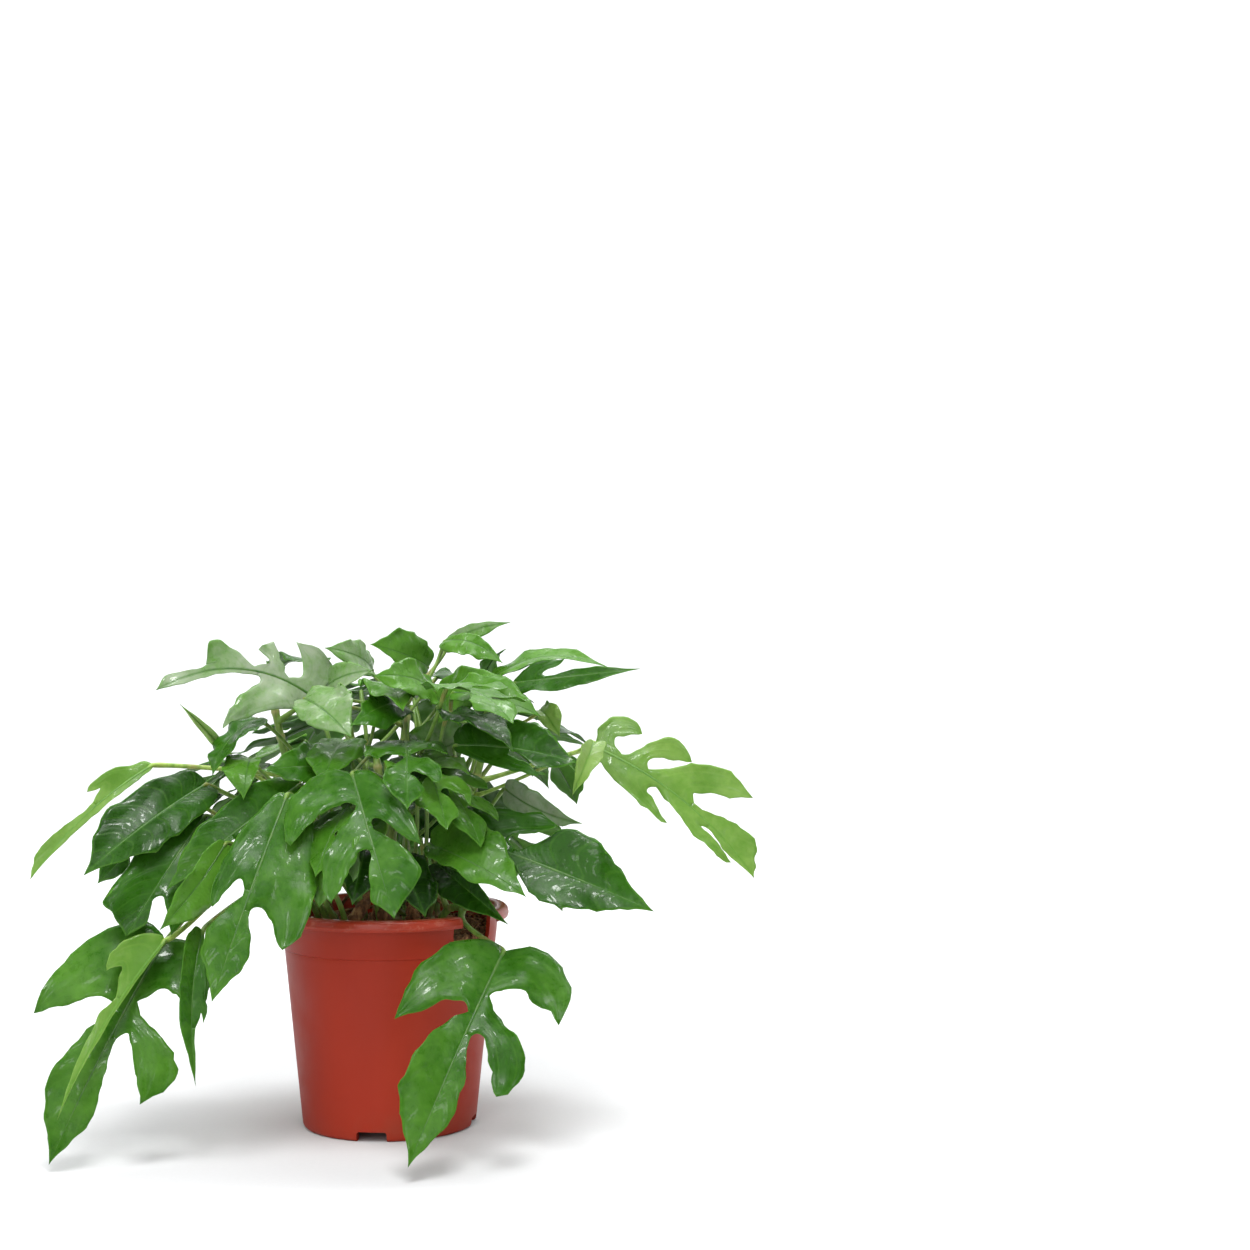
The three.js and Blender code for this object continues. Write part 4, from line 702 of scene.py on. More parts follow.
leafTable = {
    "trailing_front": bladeRow("front", 1.0, [54, -68, 96], [8, -124, 8], [-1, -10, 3],
        [0.16, 0.68, 0.9], [0.09, 0.72], [[0.33, 0.28, 0.47, 0.1]],
        [[0.23, 0.33, 0.24, 0.06], [0.42, 0.22, 0.63, 0.2]], sag=8),
    "low_left": bladeRow("low_left", 1.0, [-107, -50, 101], [-156, -85, 4], [-1, -10, 3],
        [0.15, 0.7, 0.8], [0.08, 0.76], [[0.35, 0.32, 0.49, 0.1]],
        [[0.28, 0.25, 0.26, 0.1], [0.45, 0.24, 0.64, 0.24]], sag=8),
    "low_left_young": bladeRow("low_left", 0.9, [-106, -62, 103], [-150, -100, 28], [-5, -10, 4],
        [0.045, 0.5], [0.05, 0.25], right=[[0.36, 0.13, 0.28, 0.1]], sag=4, bend=2, fold=35),
    "low_left_narrow": bladeRow("low_left", 0.7, [-88.5, -60, 106.5], [-89.5, -85, 38.5], [4, -10, 3],
        [0.12, 0.35], [0.02, 0.8], left=[[0.64, 0.08, 0.62, 0.05]], bend=5, fold=30),
    "left_front": bladeRow("left", 0.5, [-49, -55, 171], [-81, -100, 80], [0, -10, 4],
        [0.12, 0.75], [0.09, 0.77], [[0.49, 0.14, 0.61, 0.1]], [[0.58, 0.22, 0.71, 0.2]]),
    "left_turned": bladeRow("low_left", 0.8, [-78, -60, 148], [-107, -78, 110], [0, -10, -4],
        [0.14, 0.52], [0.22, 0.53]),
    "left_inner": bladeRow("left", 0.55, [-44, -35, 174], [-106, -60, 126], [0, -10, 5],
        [0.16, 0.58], [0.04, 0.74], left=[[0.51, 0.12, 0.58, 0.1]]),
    "left_broad": bladeRow("left", 0.6, [-90, -25, 174], [-144, -60, 134], [0, -10, 6], [0.22, 0.59], [0.19, 0.51]),
    "left_under": bladeRow("left", 0.45, [-99, -10, 165], [-141, -35, 127], [0, -10, 4],
        [0.12, 0.79], [0.1, 0.8], left=[[0.68, 0.24, 0.84, 0.1]]),
    "left_dark": bladeRow("low_left", 0.95, [-90, -30, 159], [-124, -62, 105], [0, -10, 3],
        [0.24, 0.86], [0.07, 0.86], left=[[0.7, 0.25, 0.85, 0.1]]),
    "far_left": bladeRow("left", 0.75, [-117, -15, 183], [-172, -40, 130], [0, -10, 4],
        [0.06, 0.85], [0.04, 0.4], right=[[0.42, 0.1, 0.4, 0.08]], bend=3),
    "left_shoot": bladeRow("left", 0.7, [-80, -12, 187], [-103, -25, 214], [0, -10, 3],
        [0.1, 0.49], [0.13, 0.54], fold=60),
    "upper_left": bladeRow("left", 0.95, [-39, -12, 217], [-112, -48, 221], [0, -10, 4],
        [0.05, 0.9], [0.04, 0.83], [[0.16, 0.28, 0.17, 0.1], [0.38, 0.14, 0.37, 0.24], [0.7, 0.04, 0.68, 0.3]],
        [[0.36, 0.37, 0.72, -0.05]], bend=11),
    "upper_left_front": bladeRow("centre", 0.8, [-42, -26, 216], [-18, -56, 198], [0, -10, 5],
        [0.23, 0.5], [0.36, 0.49]),
    "upper_left_pale": bladeRow("centre", 0.85, [-34, 4, 218], [-8, -22, 230], [0, -10, 6],
        [0.2, 0.63], [0.22, 0.46]),
    "upper_left_grey": bladeRow("centre", 0.95, [-9, 22, 229], [-33, -6, 241], [0, -10, 5],
        [0.24, 0.41], [0.19, 0.59]),
    "top_centre": bladeRow("centre", 1.0, [19, -8, 231], [-10, -30, 243], [0, -10, 3], [0.32, 0.59], [0.15, 0.45]),
    "top_right": bladeRow("centre", 0.93, [28, 16, 244], [57, -8, 233], [0, -10, 6],
        [0.22, 0.6], [0.12, 0.5], bend=-2),
    "top_peak": bladeRow("centre", 0.98, [30, 24, 243], [62, 5, 254], [0, -10, 4], [0.14, 0.4], [0.1, 0.45]),
    "top_glossy": bladeRow("centre", 0.9, [22, -24, 219], [-8, -56, 228], [0, -10, 7], [0.26, 0.35], [0.27, 0.71]),
    "top_glossy_left": bladeRow("centre", 0.8, [6, -20, 213], [-19, -56, 204], [0, -10, 6],
        [0.24, 0.23], [0.25, 0.66]),
    "upper_right_long": bladeRow("right", 1.0, [50, 3, 223], [110, -17, 231], [0, -4, 10],
        [0.16, 0.45], [0.16, 0.4], sag=10),
    "upper_right_tip": bladeRow("right", 0.95, [62, -16, 223], [123, -46, 231], [0, -10, 6],
        [0.11, 0.3], [0.06, 0.6], left=[[0.28, 0.15, 0.43, 0.1]], bend=3),
    "upper_right_grey": bladeRow("right", 0.9, [24, -8, 211], [57, -28, 227], [0, -10, 6], [0.28, 0.7], [0.29, 0.45]),
    "upper_right_front": bladeRow("right", 0.72, [31, -34, 219], [73, -58, 208], [0, -10, 7],
        [0.13, 0.49], [0.26, 0.46]),
    "centre_turned": bladeRow("centre", 0.65, [14, -6, 189], [42, -24, 200], [0, -10, -6], [0.3, 0.37], [0.47, 0.73]),
    "right_dark": bladeRow("right", 0.7, [32, -35, 193], [90, -62, 186], [0, -10, 6],
        [0.13, 0.8], [0.25, 0.53], right=[[0.5, 0.2, 0.82, 0.05]]),
    "right_shoot_low": bladeRow("right", 0.7, [103, -12, 193], [90, -32, 167], [0, -10, 2],
        [0.15, 0.5], [0.2, 0.32], fold=30),
    "right_shoot_high": bladeRow("right", 0.9, [76, -8, 209], [85, -20, 196], [0, -10, 2],
        [0.23, 0.52], [0.31, 0.56], fold=30),
    "right_arm": bladeRow("right", 0.75, [106, 5, 189], [185, -15, 123], [0, -10, 6],
        [0.04, 0.8], [0.12, 0.86], [[0.35, 0.15, 0.5, 0.05], [0.67, 0.05, 0.87, 0.14]],
        [[0.12, 0.17, 0.16, 0.14], [0.27, 0.19, 0.42, 0.14], [0.54, 0.25, 0.72, 0.1]], bend=-6),
    "right_split": bladeRow("right", 0.35, [24, -40, 152], [126, -75, 115], [0, -10, 5],
        [0.16, 0.57], [0.19, 0.59], [[0.32, 0.15, 0.31, 0.1]], [[0.34, 0.18, 0.49, 0.1]]),
    "right_turned": bladeRow("right", 0.5, [58, -20, 170], [95, -38, 154], [0, -10, -5], [0.19, 0.42], [0.2, 0.4]),
    "right_light": bladeRow("right", 0.28, [19, -52, 146], [64, -84, 124], [0, -10, 6], [0.14, 0.53], [0.33, 0.44]),
    "right_hanging": bladeRow("front", 0.6, [23, -24, 134], [57, -64, 108], [-3, -10, 3],
        [0.19, 0.4], [0.14, 0.33], fold=30),
    "front_centre": bladeRow("centre", 0.6, [-18, -60, 181], [2, -100, 117], [-1, -10, 4],
        [0.1, 0.84], [0.23, 0.76], [[0.24, 0.47, 0.36, 0.1], [0.56, 0.33, 0.81, 0.1]], [[0.39, 0.27, 0.64, 0.06]]),
    "centre_curled": bladeRow("centre", 0.74, [-20, -18, 178], [-62, -46, 182], [0, -10, 7],
        [0.3, 0.36], [0.21, 0.58]),
    "centre_small": bladeRow("left", 0.65, [-68, -30, 187], [-70, -50, 168], [0, -10, 5], [0.41, 0.43], [0.18, 0.38]),
    "inner_left": bladeRow("left", 0.35, [-27, -30, 151], [-41, -48, 129], [0, -10, 4], [0.34, 0.58], [0.24, 0.56]),
    "inner_front": bladeRow("centre", 0.3, [-12, -45, 143], [-18, -60, 118], [0, -10, 3], [0.24, 0.59], [0.27, 0.57]),
    "inner_right": bladeRow("centre", 0.2, [5, -35, 137], [17, -55, 111], [0, -10, 3], [0.22, 0.51], [0.31, 0.67]),
    "inner_upper": bladeRow("centre", 0.5, [8, 4, 163], [45, -18, 139], [0, -10, 5], [0.25, 0.54], [0.32, 0.33]),
    "back_low_left": bladeRow("back", 0.45, [-22, 62, 158], [-78, 112, 100], [-2, 6, 10],
        [0.13, 0.8], [0.13, 0.8], [[0.28, 0.34, 0.35, 0.1], [0.56, 0.27, 0.74, 0.1]],
        [[0.3, 0.33, 0.4, 0.1], [0.58, 0.26, 0.76, 0.1]], sag=8),
    "back_middle": bladeRow("back", 0.7, [-2, 72, 178], [10, 138, 118], [0, 6, 10],
        [0.14, 0.8], [0.13, 0.78], [[0.3, 0.35, 0.4, 0.1], [0.6, 0.27, 0.78, 0.1]],
        [[0.26, 0.33, 0.34, 0.1], [0.54, 0.27, 0.72, 0.1]], sag=8),
    "back_low_right": bladeRow("right", 0.3, [52, 46, 148], [96, 98, 92], [2, 6, 10],
        [0.13, 0.8], [0.13, 0.8], [[0.3, 0.34, 0.38, 0.1], [0.62, 0.26, 0.78, 0.1]],
        [[0.3, 0.33, 0.4, 0.1], [0.58, 0.26, 0.76, 0.1]], sag=8),
    "back_low": bladeRow("back", 0.36, [14, 66, 132], [22, 112, 62], [0, 10, 5],
        [0.18, 0.7], [0.13, 0.8], [[0.32, 0.32, 0.42, 0.1]], [[0.3, 0.33, 0.4, 0.1], [0.58, 0.26, 0.76, 0.1]],
        sag=8),
    "back_left": bladeRow("left", 0.6, [-72, 34, 180], [-118, 84, 142], [-3, 5, 10],
        [0.2, 0.7], [0.2, 0.68], [[0.35, 0.3, 0.45, 0.1]], [[0.3, 0.33, 0.4, 0.1]], sag=8),
    "back_right": bladeRow("right", 0.75, [66, 44, 196], [104, 96, 152], [3, 5, 10],
        [0.18, 0.68], [0.13, 0.8], [[0.3, 0.32, 0.4, 0.1]], [[0.3, 0.33, 0.4, 0.1], [0.58, 0.26, 0.76, 0.1]], sag=8),
    "back_upper_left": bladeRow("back", 0.97, [-28, 72, 204], [-52, 128, 172], [-1, 5, 10],
        [0.32, 0.45], [0.2, 0.75], left=[[0.4, 0.3, 0.5, 0.1]], sag=8),
    "back_upper_right": bladeRow("centre", 0.75, [28, 52, 214], [44, 110, 188], [1, 5, 10],
        [0.2, 0.75], [0.32, 0.45], right=[[0.4, 0.3, 0.5, 0.1]], sag=8),
}

youngLeaves = ["low_left_young", "far_left", "left_shoot", "right_shoot_low", "right_shoot_high", "right_arm"]

# how light a blade is, from 0 deep green through fresh green to 1, a pale grey-green that is painted sheen: the upper
# leaves' high tones paint the top light's sheen on blades that face up; the rest lie between
toneAndSheenOf = {
    "left_dark": 0.3, "right_dark": 0.28, "right_split": 0.3, "left_broad": 0.2, "left_under": 0.3, "low_left": 0.5,
    "trailing_front": 0.44, "front_centre": 0.42, "left_front": 0.44, "left_inner": 0.42, "left_turned": 0.66,
    "right_turned": 0.95, "centre_turned": 0.72, "centre_small": 0.6, "centre_curled": 0.4, "right_light": 0.5,
    "right_hanging": 0.18, "inner_left": 0.3, "inner_front": 0.15, "inner_right": 0.1, "inner_upper": 0.15,
    "upper_left": 0.9, "upper_left_front": 0.8, "upper_left_pale": 0.85, "upper_left_grey": 0.8, "top_centre": 0.62,
    "top_right": 0.66, "top_peak": 0.8, "top_glossy": 0.62, "top_glossy_left": 0.36, "upper_right_long": 0.62,
    "upper_right_tip": 0.3, "upper_right_grey": 0.66, "upper_right_front": 0.6, "low_left_narrow": 0.46,
    "far_left": 0.5, "low_left_young": 0.45, "right_arm": 0.5, "left_shoot": 0.95,
    "right_shoot_high": 0.7, "right_shoot_low": 0.7,
}

# leaves of the shoots: blade, height of its base, way it points in degrees, reach from the branch, length, droop
shootTable = {
    "left": (2.0, [[-6, 24, 101.3], [-6, 24, 108], [-12, 27, 150], [-22, 28, 206]], [
        ["split", 201, 135, 36, 72, 27],
        ["split", 185, 165, 36, 72, 35],
        ["whole", 233, 120, 44, 48, 11],
        ["split", 217, 90, 26, 64, 19],
        ["whole", 187, 128, 38, 58, 35],
        ["split", 225, 15, 44, 56, 15],
        ["split", 193, 180, 36, 72, 31],
        ["whole", 223, 285, 48, 44, 16],
        ["whole", 195, 255, 48, 44, 30],
        ["whole", 206, 222, 72, 38, 45],
    ]),
    "middle": (2.0, [[8, -10, 101.3], [8, -10, 108], [8, -14, 145], [8, -18, 200]], [
        ["split", 161, 240, 44, 56, 47],
        ["split", 217, 60, 44, 56, 19],
        ["whole", 201, 345, 44, 48, 27],
        ["split", 185, 150, 30, 60, 53],
        ["split", 195, 270, 24, 58, 30],
        ["split", 181, 300, 24, 58, 37],
        ["split", 223, 300, 40, 60, 16],
        ["split", 174, 240, 40, 60, 41],
        ["split", 188, 285, 24, 58, 34],
        ["whole", 209, 315, 30, 46, 23],
    ]),
    "right": (2.0, [[24, 22, 101.3], [24, 22, 108], [26, 27, 150], [28, 32, 206]], [
        ["split", 209, 120, 30, 60, 41],
        ["whole", 169, 60, 36, 61, 43],
        ["split", 225, 120, 36, 72, 15],
        ["whole", 193, 45, 36, 61, 31],
        ["split", 177, 90, 44, 56, 39],
        ["split", 209, 0, 26, 64, 23],
        ["split", 161, 105, 44, 56, 47],
        ["whole", 216, 325, 26, 28, -60],
    ]),
}
shootBlades = {
    "whole": {"right": [], "left": [], "rightWide": [0.3, 0.42], "leftWide": [0.3, 0.42]},
    "split": {"right": [[0.34, 0.34, 0.42, 0.1]], "left": [[0.3, 0.33, 0.38, 0.1], [0.6, 0.26, 0.76, 0.1]],
              "rightWide": [0.2, 0.72], "leftWide": [0.13, 0.8]},
}
shoot = {"climb": 34.0, "soilTop": 101.0, "lowest": 0.3, "highest": 0.97, "numberFrom": 60, "numberStep": 10}


def cubic(a, b, c, d, t):
    # cubic curve from a to d that leaves towards b and arrives from c
    t = np.asarray(t, float)[:, None]
    a, b, c, d = (np.asarray(p, float) for p in (a, b, c, d))
    return (1 - t) ** 3 * a + 3 * (1 - t) ** 2 * t * b + 3 * (1 - t) * t ** 2 * c + t ** 3 * d


def crossRow(rib, web, reach):
    # joins each row's midrib point to its outer part: three stops in the web, then the outer columns
    inside = [rib + (web - rib) * w for w in (0.0, 0.3, 0.65)]
    return np.concatenate([np.stack(inside, 1), reach], 1)


def lobePatch(inner, row, first):
    # a lobe is a grid between its near and far margins, both cubic, from its neck to its tip
    sinus, tipX, tipU, hook = row
    m = margin
    neck, tip = np.array([leaf["web"], sinus]), np.array([tipX, tipU])
    t = np.linspace(0, 1, leaf["lobeColumns"])
    bulge = [m["cheekOut"] * tipX, -m["cheekBack"] * tipX] if first else inner + [m["neckOut"], m["neckOn"]]
    lead = (m["firstTipLead"] if first else m["tipLead"]) * min(1, tipX / m["fullReach"])
    near = cubic(inner, bulge, tip + [hook, -lead], tip, t)
    far = cubic(neck, neck + [m["neckOut"], -m["neckBack"]],
                [tipX * (1 - m["farIn"] / leaf["curlSpan"]), tipU - m["farBack"]], tip, t)
    v = np.linspace(0, 1, leaf["lobeRows"])
    reach = near[None] * (1 - v)[:, None, None] + far[None] * v[:, None, None]
    rib = np.stack([0 * v, inner[1] + (sinus - inner[1]) * v], -1)
    points = crossRow(rib, reach[:, 0], reach)
    gap = np.concatenate([np.full(3, 0.06), np.linalg.norm(near - far, axis=1)])
    edge = np.minimum(v, 1 - v)[:, None] * gap[None]
    edge[:, :3] = 0.05
    return points, np.repeat(v[:, None], points.shape[1], 1), edge, neck


def endPatch(inner, hasLobes, width):
    # the end part runs from the last neck through its widest point, the shoulder, to the leaf's tip
    m = margin
    wide, shoulder = width[0], max(width[1], inner[1] + m["shoulderAfter"])
    flare = width[2] if len(width) > 2 else 0.0
    lift, rest = shoulder - inner[1], 1 - shoulder
    t = np.linspace(0, 1, leaf["endRows"] // 2 + 1)
    if hasLobes:
        handles = [[m["endOut"] + m["flareOut"] * flare * wide,
                    inner[1] + (m["endRise"] - m["flareRise"] * flare) * lift],
                   [wide, shoulder - m["shoulderBack"] * lift]]
    else:
        handles = [[m["heartOut"] * wide, -m["heartBack"] * min(1, wide / m["fullReach"])],
                   [wide, m["heartRise"] * shoulder]]
    body = cubic(inner, *handles, [wide, shoulder], t)
    tail = cubic([wide, shoulder], [wide, shoulder + m["tailOn"] * rest],
                 [m["tailIn"] * wide, shoulder + m["tailLate"] * rest], [0, 1], t)
    rim = np.concatenate([body, tail[1:]])
    v = np.linspace(0, 1, len(rim))
    rib = np.stack([0 * v, inner[1] + (1 - inner[1]) * v ** 1.3], -1)
    t = np.linspace(0, 1, leaf["endColumns"])[None, :, None]
    web = rib + (rim - rib) * 0.12
    reach = web[:, None] * (1 - t) + rim[:, None] * t
    reach[:, 1:-1, 1] -= (0.06 * np.sin(np.pi * t[:, 1:-1, 0])) * (v * (1 - v) * 4)[:, None]  # veins sweep forward
    points = crossRow(rib, web, reach)
    share = np.concatenate([np.tile([1, 0.96, 0.92], (len(v), 1)), np.repeat(0.88 * (1 - t[:, :, 0]), len(v), 0)], 1)
    edge = share * np.linalg.norm(rim - rib, axis=1)[:, None]
    return points, np.repeat(v[:, None], points.shape[1], 1), edge


def halfBlade(lobes, width):
    # flat patches of one half, midrib at x = 0 and length 1, each with its vein phase and the way in from the margin
    patches = []
    inner = np.zeros(2)
    for k, row in enumerate(lobes):
        points, v, edge, neck = lobePatch(inner, row, k == 0)
        patches.append((points, k * 2 + 2 * v + 0.5, edge))
        inner = neck
    points, v, edge = endPatch(inner, len(lobes) > 0, width)
    veins = max(3.0, round((1 - inner[1]) * 9))
    patches.append((points, len(lobes) * 2 + 0.5 + veins * v, edge))
    return patches


class Posture:
    # a blade's pose: the midrib is a quadratic curve from base to tip bowed by sag and bend, and each half
    # rises by fold and curls down along a circle away from the midrib

    def __init__(self, row):
        self.base, self.tip = np.array(row["base"], float), np.array(row["tip"], float)
        along = self.tip - self.base
        chord = np.linalg.norm(along)
        along /= chord
        up = np.array(row["face"], float)
        up -= along * (up @ along)
        up /= np.linalg.norm(up)
        self.side = np.cross(along, up)
        self.under = -up
        self.middle = (self.base + self.tip) / 2 + 2 * row["sag"] * up + 2 * row["bend"] * self.side
        self.length = chord * (1 + 8 / 3 * (row["sag"] / chord) ** 2)
        self.fold = np.radians(row["fold"])
        self.curl = np.radians(row["curl"]) / leaf["curlSpan"]

    def place(self, flat, lift):
        x, u = flat[..., 0], flat[..., 1]
        t = np.clip(u, 0, 1)[..., None]
        spine = (1 - t) ** 2 * self.base + 2 * (1 - t) * t * self.middle + t ** 2 * self.tip
        heading = (self.middle - self.base) * (1 - t) + (self.tip - self.middle) * t
        heading /= np.linalg.norm(heading, axis=-1, keepdims=True)
        across = self.side - heading * (heading @ self.side)[..., None]
        across /= np.linalg.norm(across, axis=-1, keepdims=True)
        normal = np.cross(across, heading)
        turn = self.fold - self.curl * np.abs(x)
        outward = (np.sin(self.fold) - np.sin(turn)) / self.curl * np.sign(x)
        raised = (np.cos(turn) - np.cos(self.fold)) / self.curl
        return (spine + heading * (u[..., None] - t) * self.length + across * (outward * self.length)[..., None]
                + normal * (raised * self.length + lift)[..., None])


def closeSkin(flat, faces):
    # welds the patches by their flat place, then walls the open edges between the two skins
    key = np.round(flat * 1e5).astype(np.int64)
    kept, first, same = np.unique(key, axis=0, return_index=True, return_inverse=True)
    faces = same.ravel()[faces]
    edges = np.stack([faces, np.roll(faces, -1, axis=1)], -1).reshape(-1, 2)
    edges = edges[edges[:, 0] != edges[:, 1]]
    size = len(kept)
    lone = edges[~np.isin(edges[:, 0] * size + edges[:, 1], edges[:, 1] * size + edges[:, 0])]
    walls = np.stack([lone[:, 1], lone[:, 0], lone[:, 0] + size, lone[:, 1] + size], -1)
    return first, np.concatenate([faces, faces[:, ::-1] + size, walls]), np.unique(lone)


def makeHalf(posture, sign, lobes, width, seed):
    # one half of a blade: its flat patches are welded and their margin wavers; the veins quilt it, it arches in
    # slow waves and its edge ripples; then the posture places an upper and a lower skin
    flats, phases, edges, faces = [], [], [], []
    start = 0
    for points, phase, edge in halfBlade(lobes, width):
        rows, columns = points.shape[:2]
        quads = gridFaces(rows, columns, first=start)
        faces.append(quads if sign < 0 else quads[:, ::-1])
        flats.append(points.reshape(-1, 2) * [sign, 1])
        phases.append(phase.ravel())
        edges.append(edge.ravel() * posture.length)
        start += rows * columns
    flat, phase, edge = np.concatenate(flats), np.concatenate(phases), np.concatenate(edges)
    first, faces, rim = closeSkin(flat, np.concatenate(faces))
    flat, phase, edge = flat[first], phase[first], edge[first]
    waver = np.stack([waves(flat * posture.length, seed + 2 + i, 6, 18, 16) for i in range(2)], -1)
    fade = np.exp(-edge / leaf["nickIn"]) * np.clip(np.abs(flat[:, 0]) * posture.length / 6, 0, 1)
    flat = flat + waver * (leaf["nick"] / posture.length * fade)[:, None]
    rib = np.abs(flat[:, 0]) * posture.length
    out = np.clip(rib / leaf["quiltFrom"], 0, 1) * np.clip(edge / leaf["flatEdge"], 0, 1)
    relief = leaf["quilt"] * (np.sin(np.pi * phase) ** 2 - 0.5) + leaf["fineQuilt"] * np.sin(np.pi * 4 * phase)
    inside = np.clip(rib / leaf["archFrom"], 0, 1)
    bend = leaf["arch"] * waves(flat * 6, seed, 1.2, 5, 14) * inside
    ripple = leaf["ripple"] * waves(flat * 10, seed + 1, 1.5, 4, 10) * np.exp(-edge / leaf["rippleIn"]) * inside
    lift = relief * out + bend + ripple
    half = np.full(len(flat), leaf["thickness"] / 2)
    half[rim] = leaf["margin"] / 2
    points = np.concatenate([posture.place(flat, lift + half), posture.place(flat, lift - half)])
    under = np.repeat([0.0, 1.0], len(flat))
    twice = lambda values: np.tile(values, 2)
    return points, faces, {"veinPhase": twice(phase), "ribX": twice(rib), "edgeIn": twice(edge), "under": under}


def makeStalk(posture, radius, route, at):
    # petiole and midrib as one tube: a cubic arch from the stem to the blade's lower side, then along the midrib,
    # thickest at the clasping base, swollen just before the blade and fading to a thread at the tip
    root = routePoint(route, at)[0]
    heading = np.diff(routePoint(route, [max(at - 1e-3, 0), min(at + 1e-3, 1)]), axis=0)[0]
    heading /= np.linalg.norm(heading)
    outward = posture.base - root
    span = leaf["rise"] * np.linalg.norm(outward)
    outward -= heading * (outward @ heading)
    outward /= np.linalg.norm(outward)
    along = posture.middle - posture.base
    along /= np.linalg.norm(along)
    start = root + outward * radius
    rise = start + outward * span + [0, 0, span * 0.5]
    arrive = posture.base - along * span * 0.3 + posture.under * span * 0.35
    arch = cubic(start, rise, arrive, posture.base, np.linspace(0, 1, leaf["petioleStations"]))
    arch[0] = root + outward * radius * 0.3
    u = np.linspace(0, 0.985, leaf["ribStations"])[1:]
    fade = np.concatenate([np.full(len(arch), 1.0), (1 - u) ** 0.8 * 0.78 + 0.12])
    ribPath = posture.place(np.stack([0 * u, u], -1), -leaf["petiole"] * fade[len(arch):] * 0.45)
    run = np.concatenate([[0], np.cumsum(np.linalg.norm(np.diff(arch, axis=0), axis=1))])
    clasp = leaf["sheath"] * np.exp(-(run / leaf["sheathLength"]) ** 2)
    knee = leaf["knee"] * np.exp(-((run[-1] - leaf["kneeAt"] - run) / leaf["kneeLength"]) ** 2)
    scale = min(1.0, 0.55 + posture.length / 200)
    size = leaf["petiole"] * scale * fade
    size[:len(arch)] *= 1 + clasp + knee
    points, faces = sweep(np.concatenate([arch, ribPath]), size, leaf["petioleSides"])
    onBlade = np.repeat(np.concatenate([np.zeros(len(arch)), np.ones(len(u))]), leaf["petioleSides"])
    return points, faces, onBlade


def makeLeaf(name, row, number, branch, at, toneAndSheen, materials, node):
    # both halves and the stalk in one mesh, with the attributes that its materials read
    posture = Posture(row)
    seed = number * leaf["seedStep"] + leaf["seedFrom"]
    parts = [makeHalf(posture, 1, row["right"], row["rightWide"], seed),
             makeHalf(posture, -1, row["left"], row["leftWide"], seed + 4)]
    stalk, stalkFaces, onBlade = makeStalk(posture, *branch, at)
    points, faces = [], []
    for part, partFaces in (half[:2] for half in parts):
        faces += (partFaces + sum(len(p) for p in points)).tolist()
        points.append(part)
    bladeFaces = len(faces)
    start = sum(len(p) for p in points)
    faces += [[i + start for i in face] for face in stalkFaces]
    points.append(stalk)
    faces = [tidyFace(face) for face in faces]
    slots = [0] * bladeFaces + [1] * (len(faces) - bladeFaces)
    kept = [(face, slot) for face, slot in zip(faces, slots) if len(face) > 2]
    piece = addMesh(name, np.concatenate(points) * mm, [face for face, slot in kept], materials)
    piece.data.polygons.foreach_set("material_index", [slot for face, slot in kept])
    for key in ("veinPhase", "ribX", "edgeIn", "under"):
        setAttribute(piece.data, key, np.concatenate([parts[0][2][key], parts[1][2][key], np.zeros(len(stalk))]))
    setAttribute(piece.data, "onBlade", np.concatenate([np.ones(start), onBlade]))
    setAttribute(piece.data, "toneAndSheen", np.full(start + len(stalk), toneAndSheen))
    finishPiece(piece, node)


# top holds the upper side's colours from deepest to palest, the palest a grey-green painted sheen of the top light on
# blades that face up; stalk holds the light, middle and deep green of a stalk
leafFinish = {
    "mature": {"top": ("#123004", "#27530b", "#497622", "#849178"), "under": "#4a7827", "rib": "#376518",
               "stalk": ("#6f8f3c", "#44681f", "#204f0e"), "gloss": 0.31},
    "young": {"top": ("#366119", "#527a2a", "#749446", "#859b60"), "under": "#6f8e4a", "rib": "#5a8730",
              "stalk": ("#9bb656", "#5f8a2c", "#44741c"), "gloss": 0.34},
    "stalkPale": "#a3aa66", "stalkTan": "#8d7742", "tanTint": 0.55, "toneAndSheenStops": (0.04, 0.4, 0.7, 1.0),
    "blotch": 33.33, "fine": 4.762, "dimple": 13.33, "grain": 3.846, "fleck": 11.11,  # pattern sizes, mm
    "blotchTint": 0.6, "fineTint": 0.3, "veinTint": 0.16, "ribTint": 0.5, "rimHighlightTint": 0.5, "underTint": 0.65,
    "groove": (1.1, 0.3), "pale": (0.7, 0.15), "combClear": (0.4, 2.5),  # mm from the midrib, margin and midrib
    "streakAcross": 0.09, "streakAlong": 1.7,  # streaks are long across the blade, along its side veins
    "streaks": 1.9, "wet": (0.555, 0.61), "combLines": 22.0, "leafApart": 40.0,  # the last gives a leaf its own streaks
    "fineDepth": 0.0003, "dimpleDepth": 0.0014, "combDepth": 0.00004, "stalkDepth": 0.00015,  # metres
    "coat": 0.75, "coatRoughness": 0.12, "glossSpread": (-0.06, 0.08), "underDull": 0.22, "stalkRoughness": 0.42,
    "ior": 1.45, "specular": 0.15, "bladeGlow": 0.12, "stalkGlow": 0.1, "glow": (0.5, 1.0, 0.15), "glowDepth": 0.0012,
}


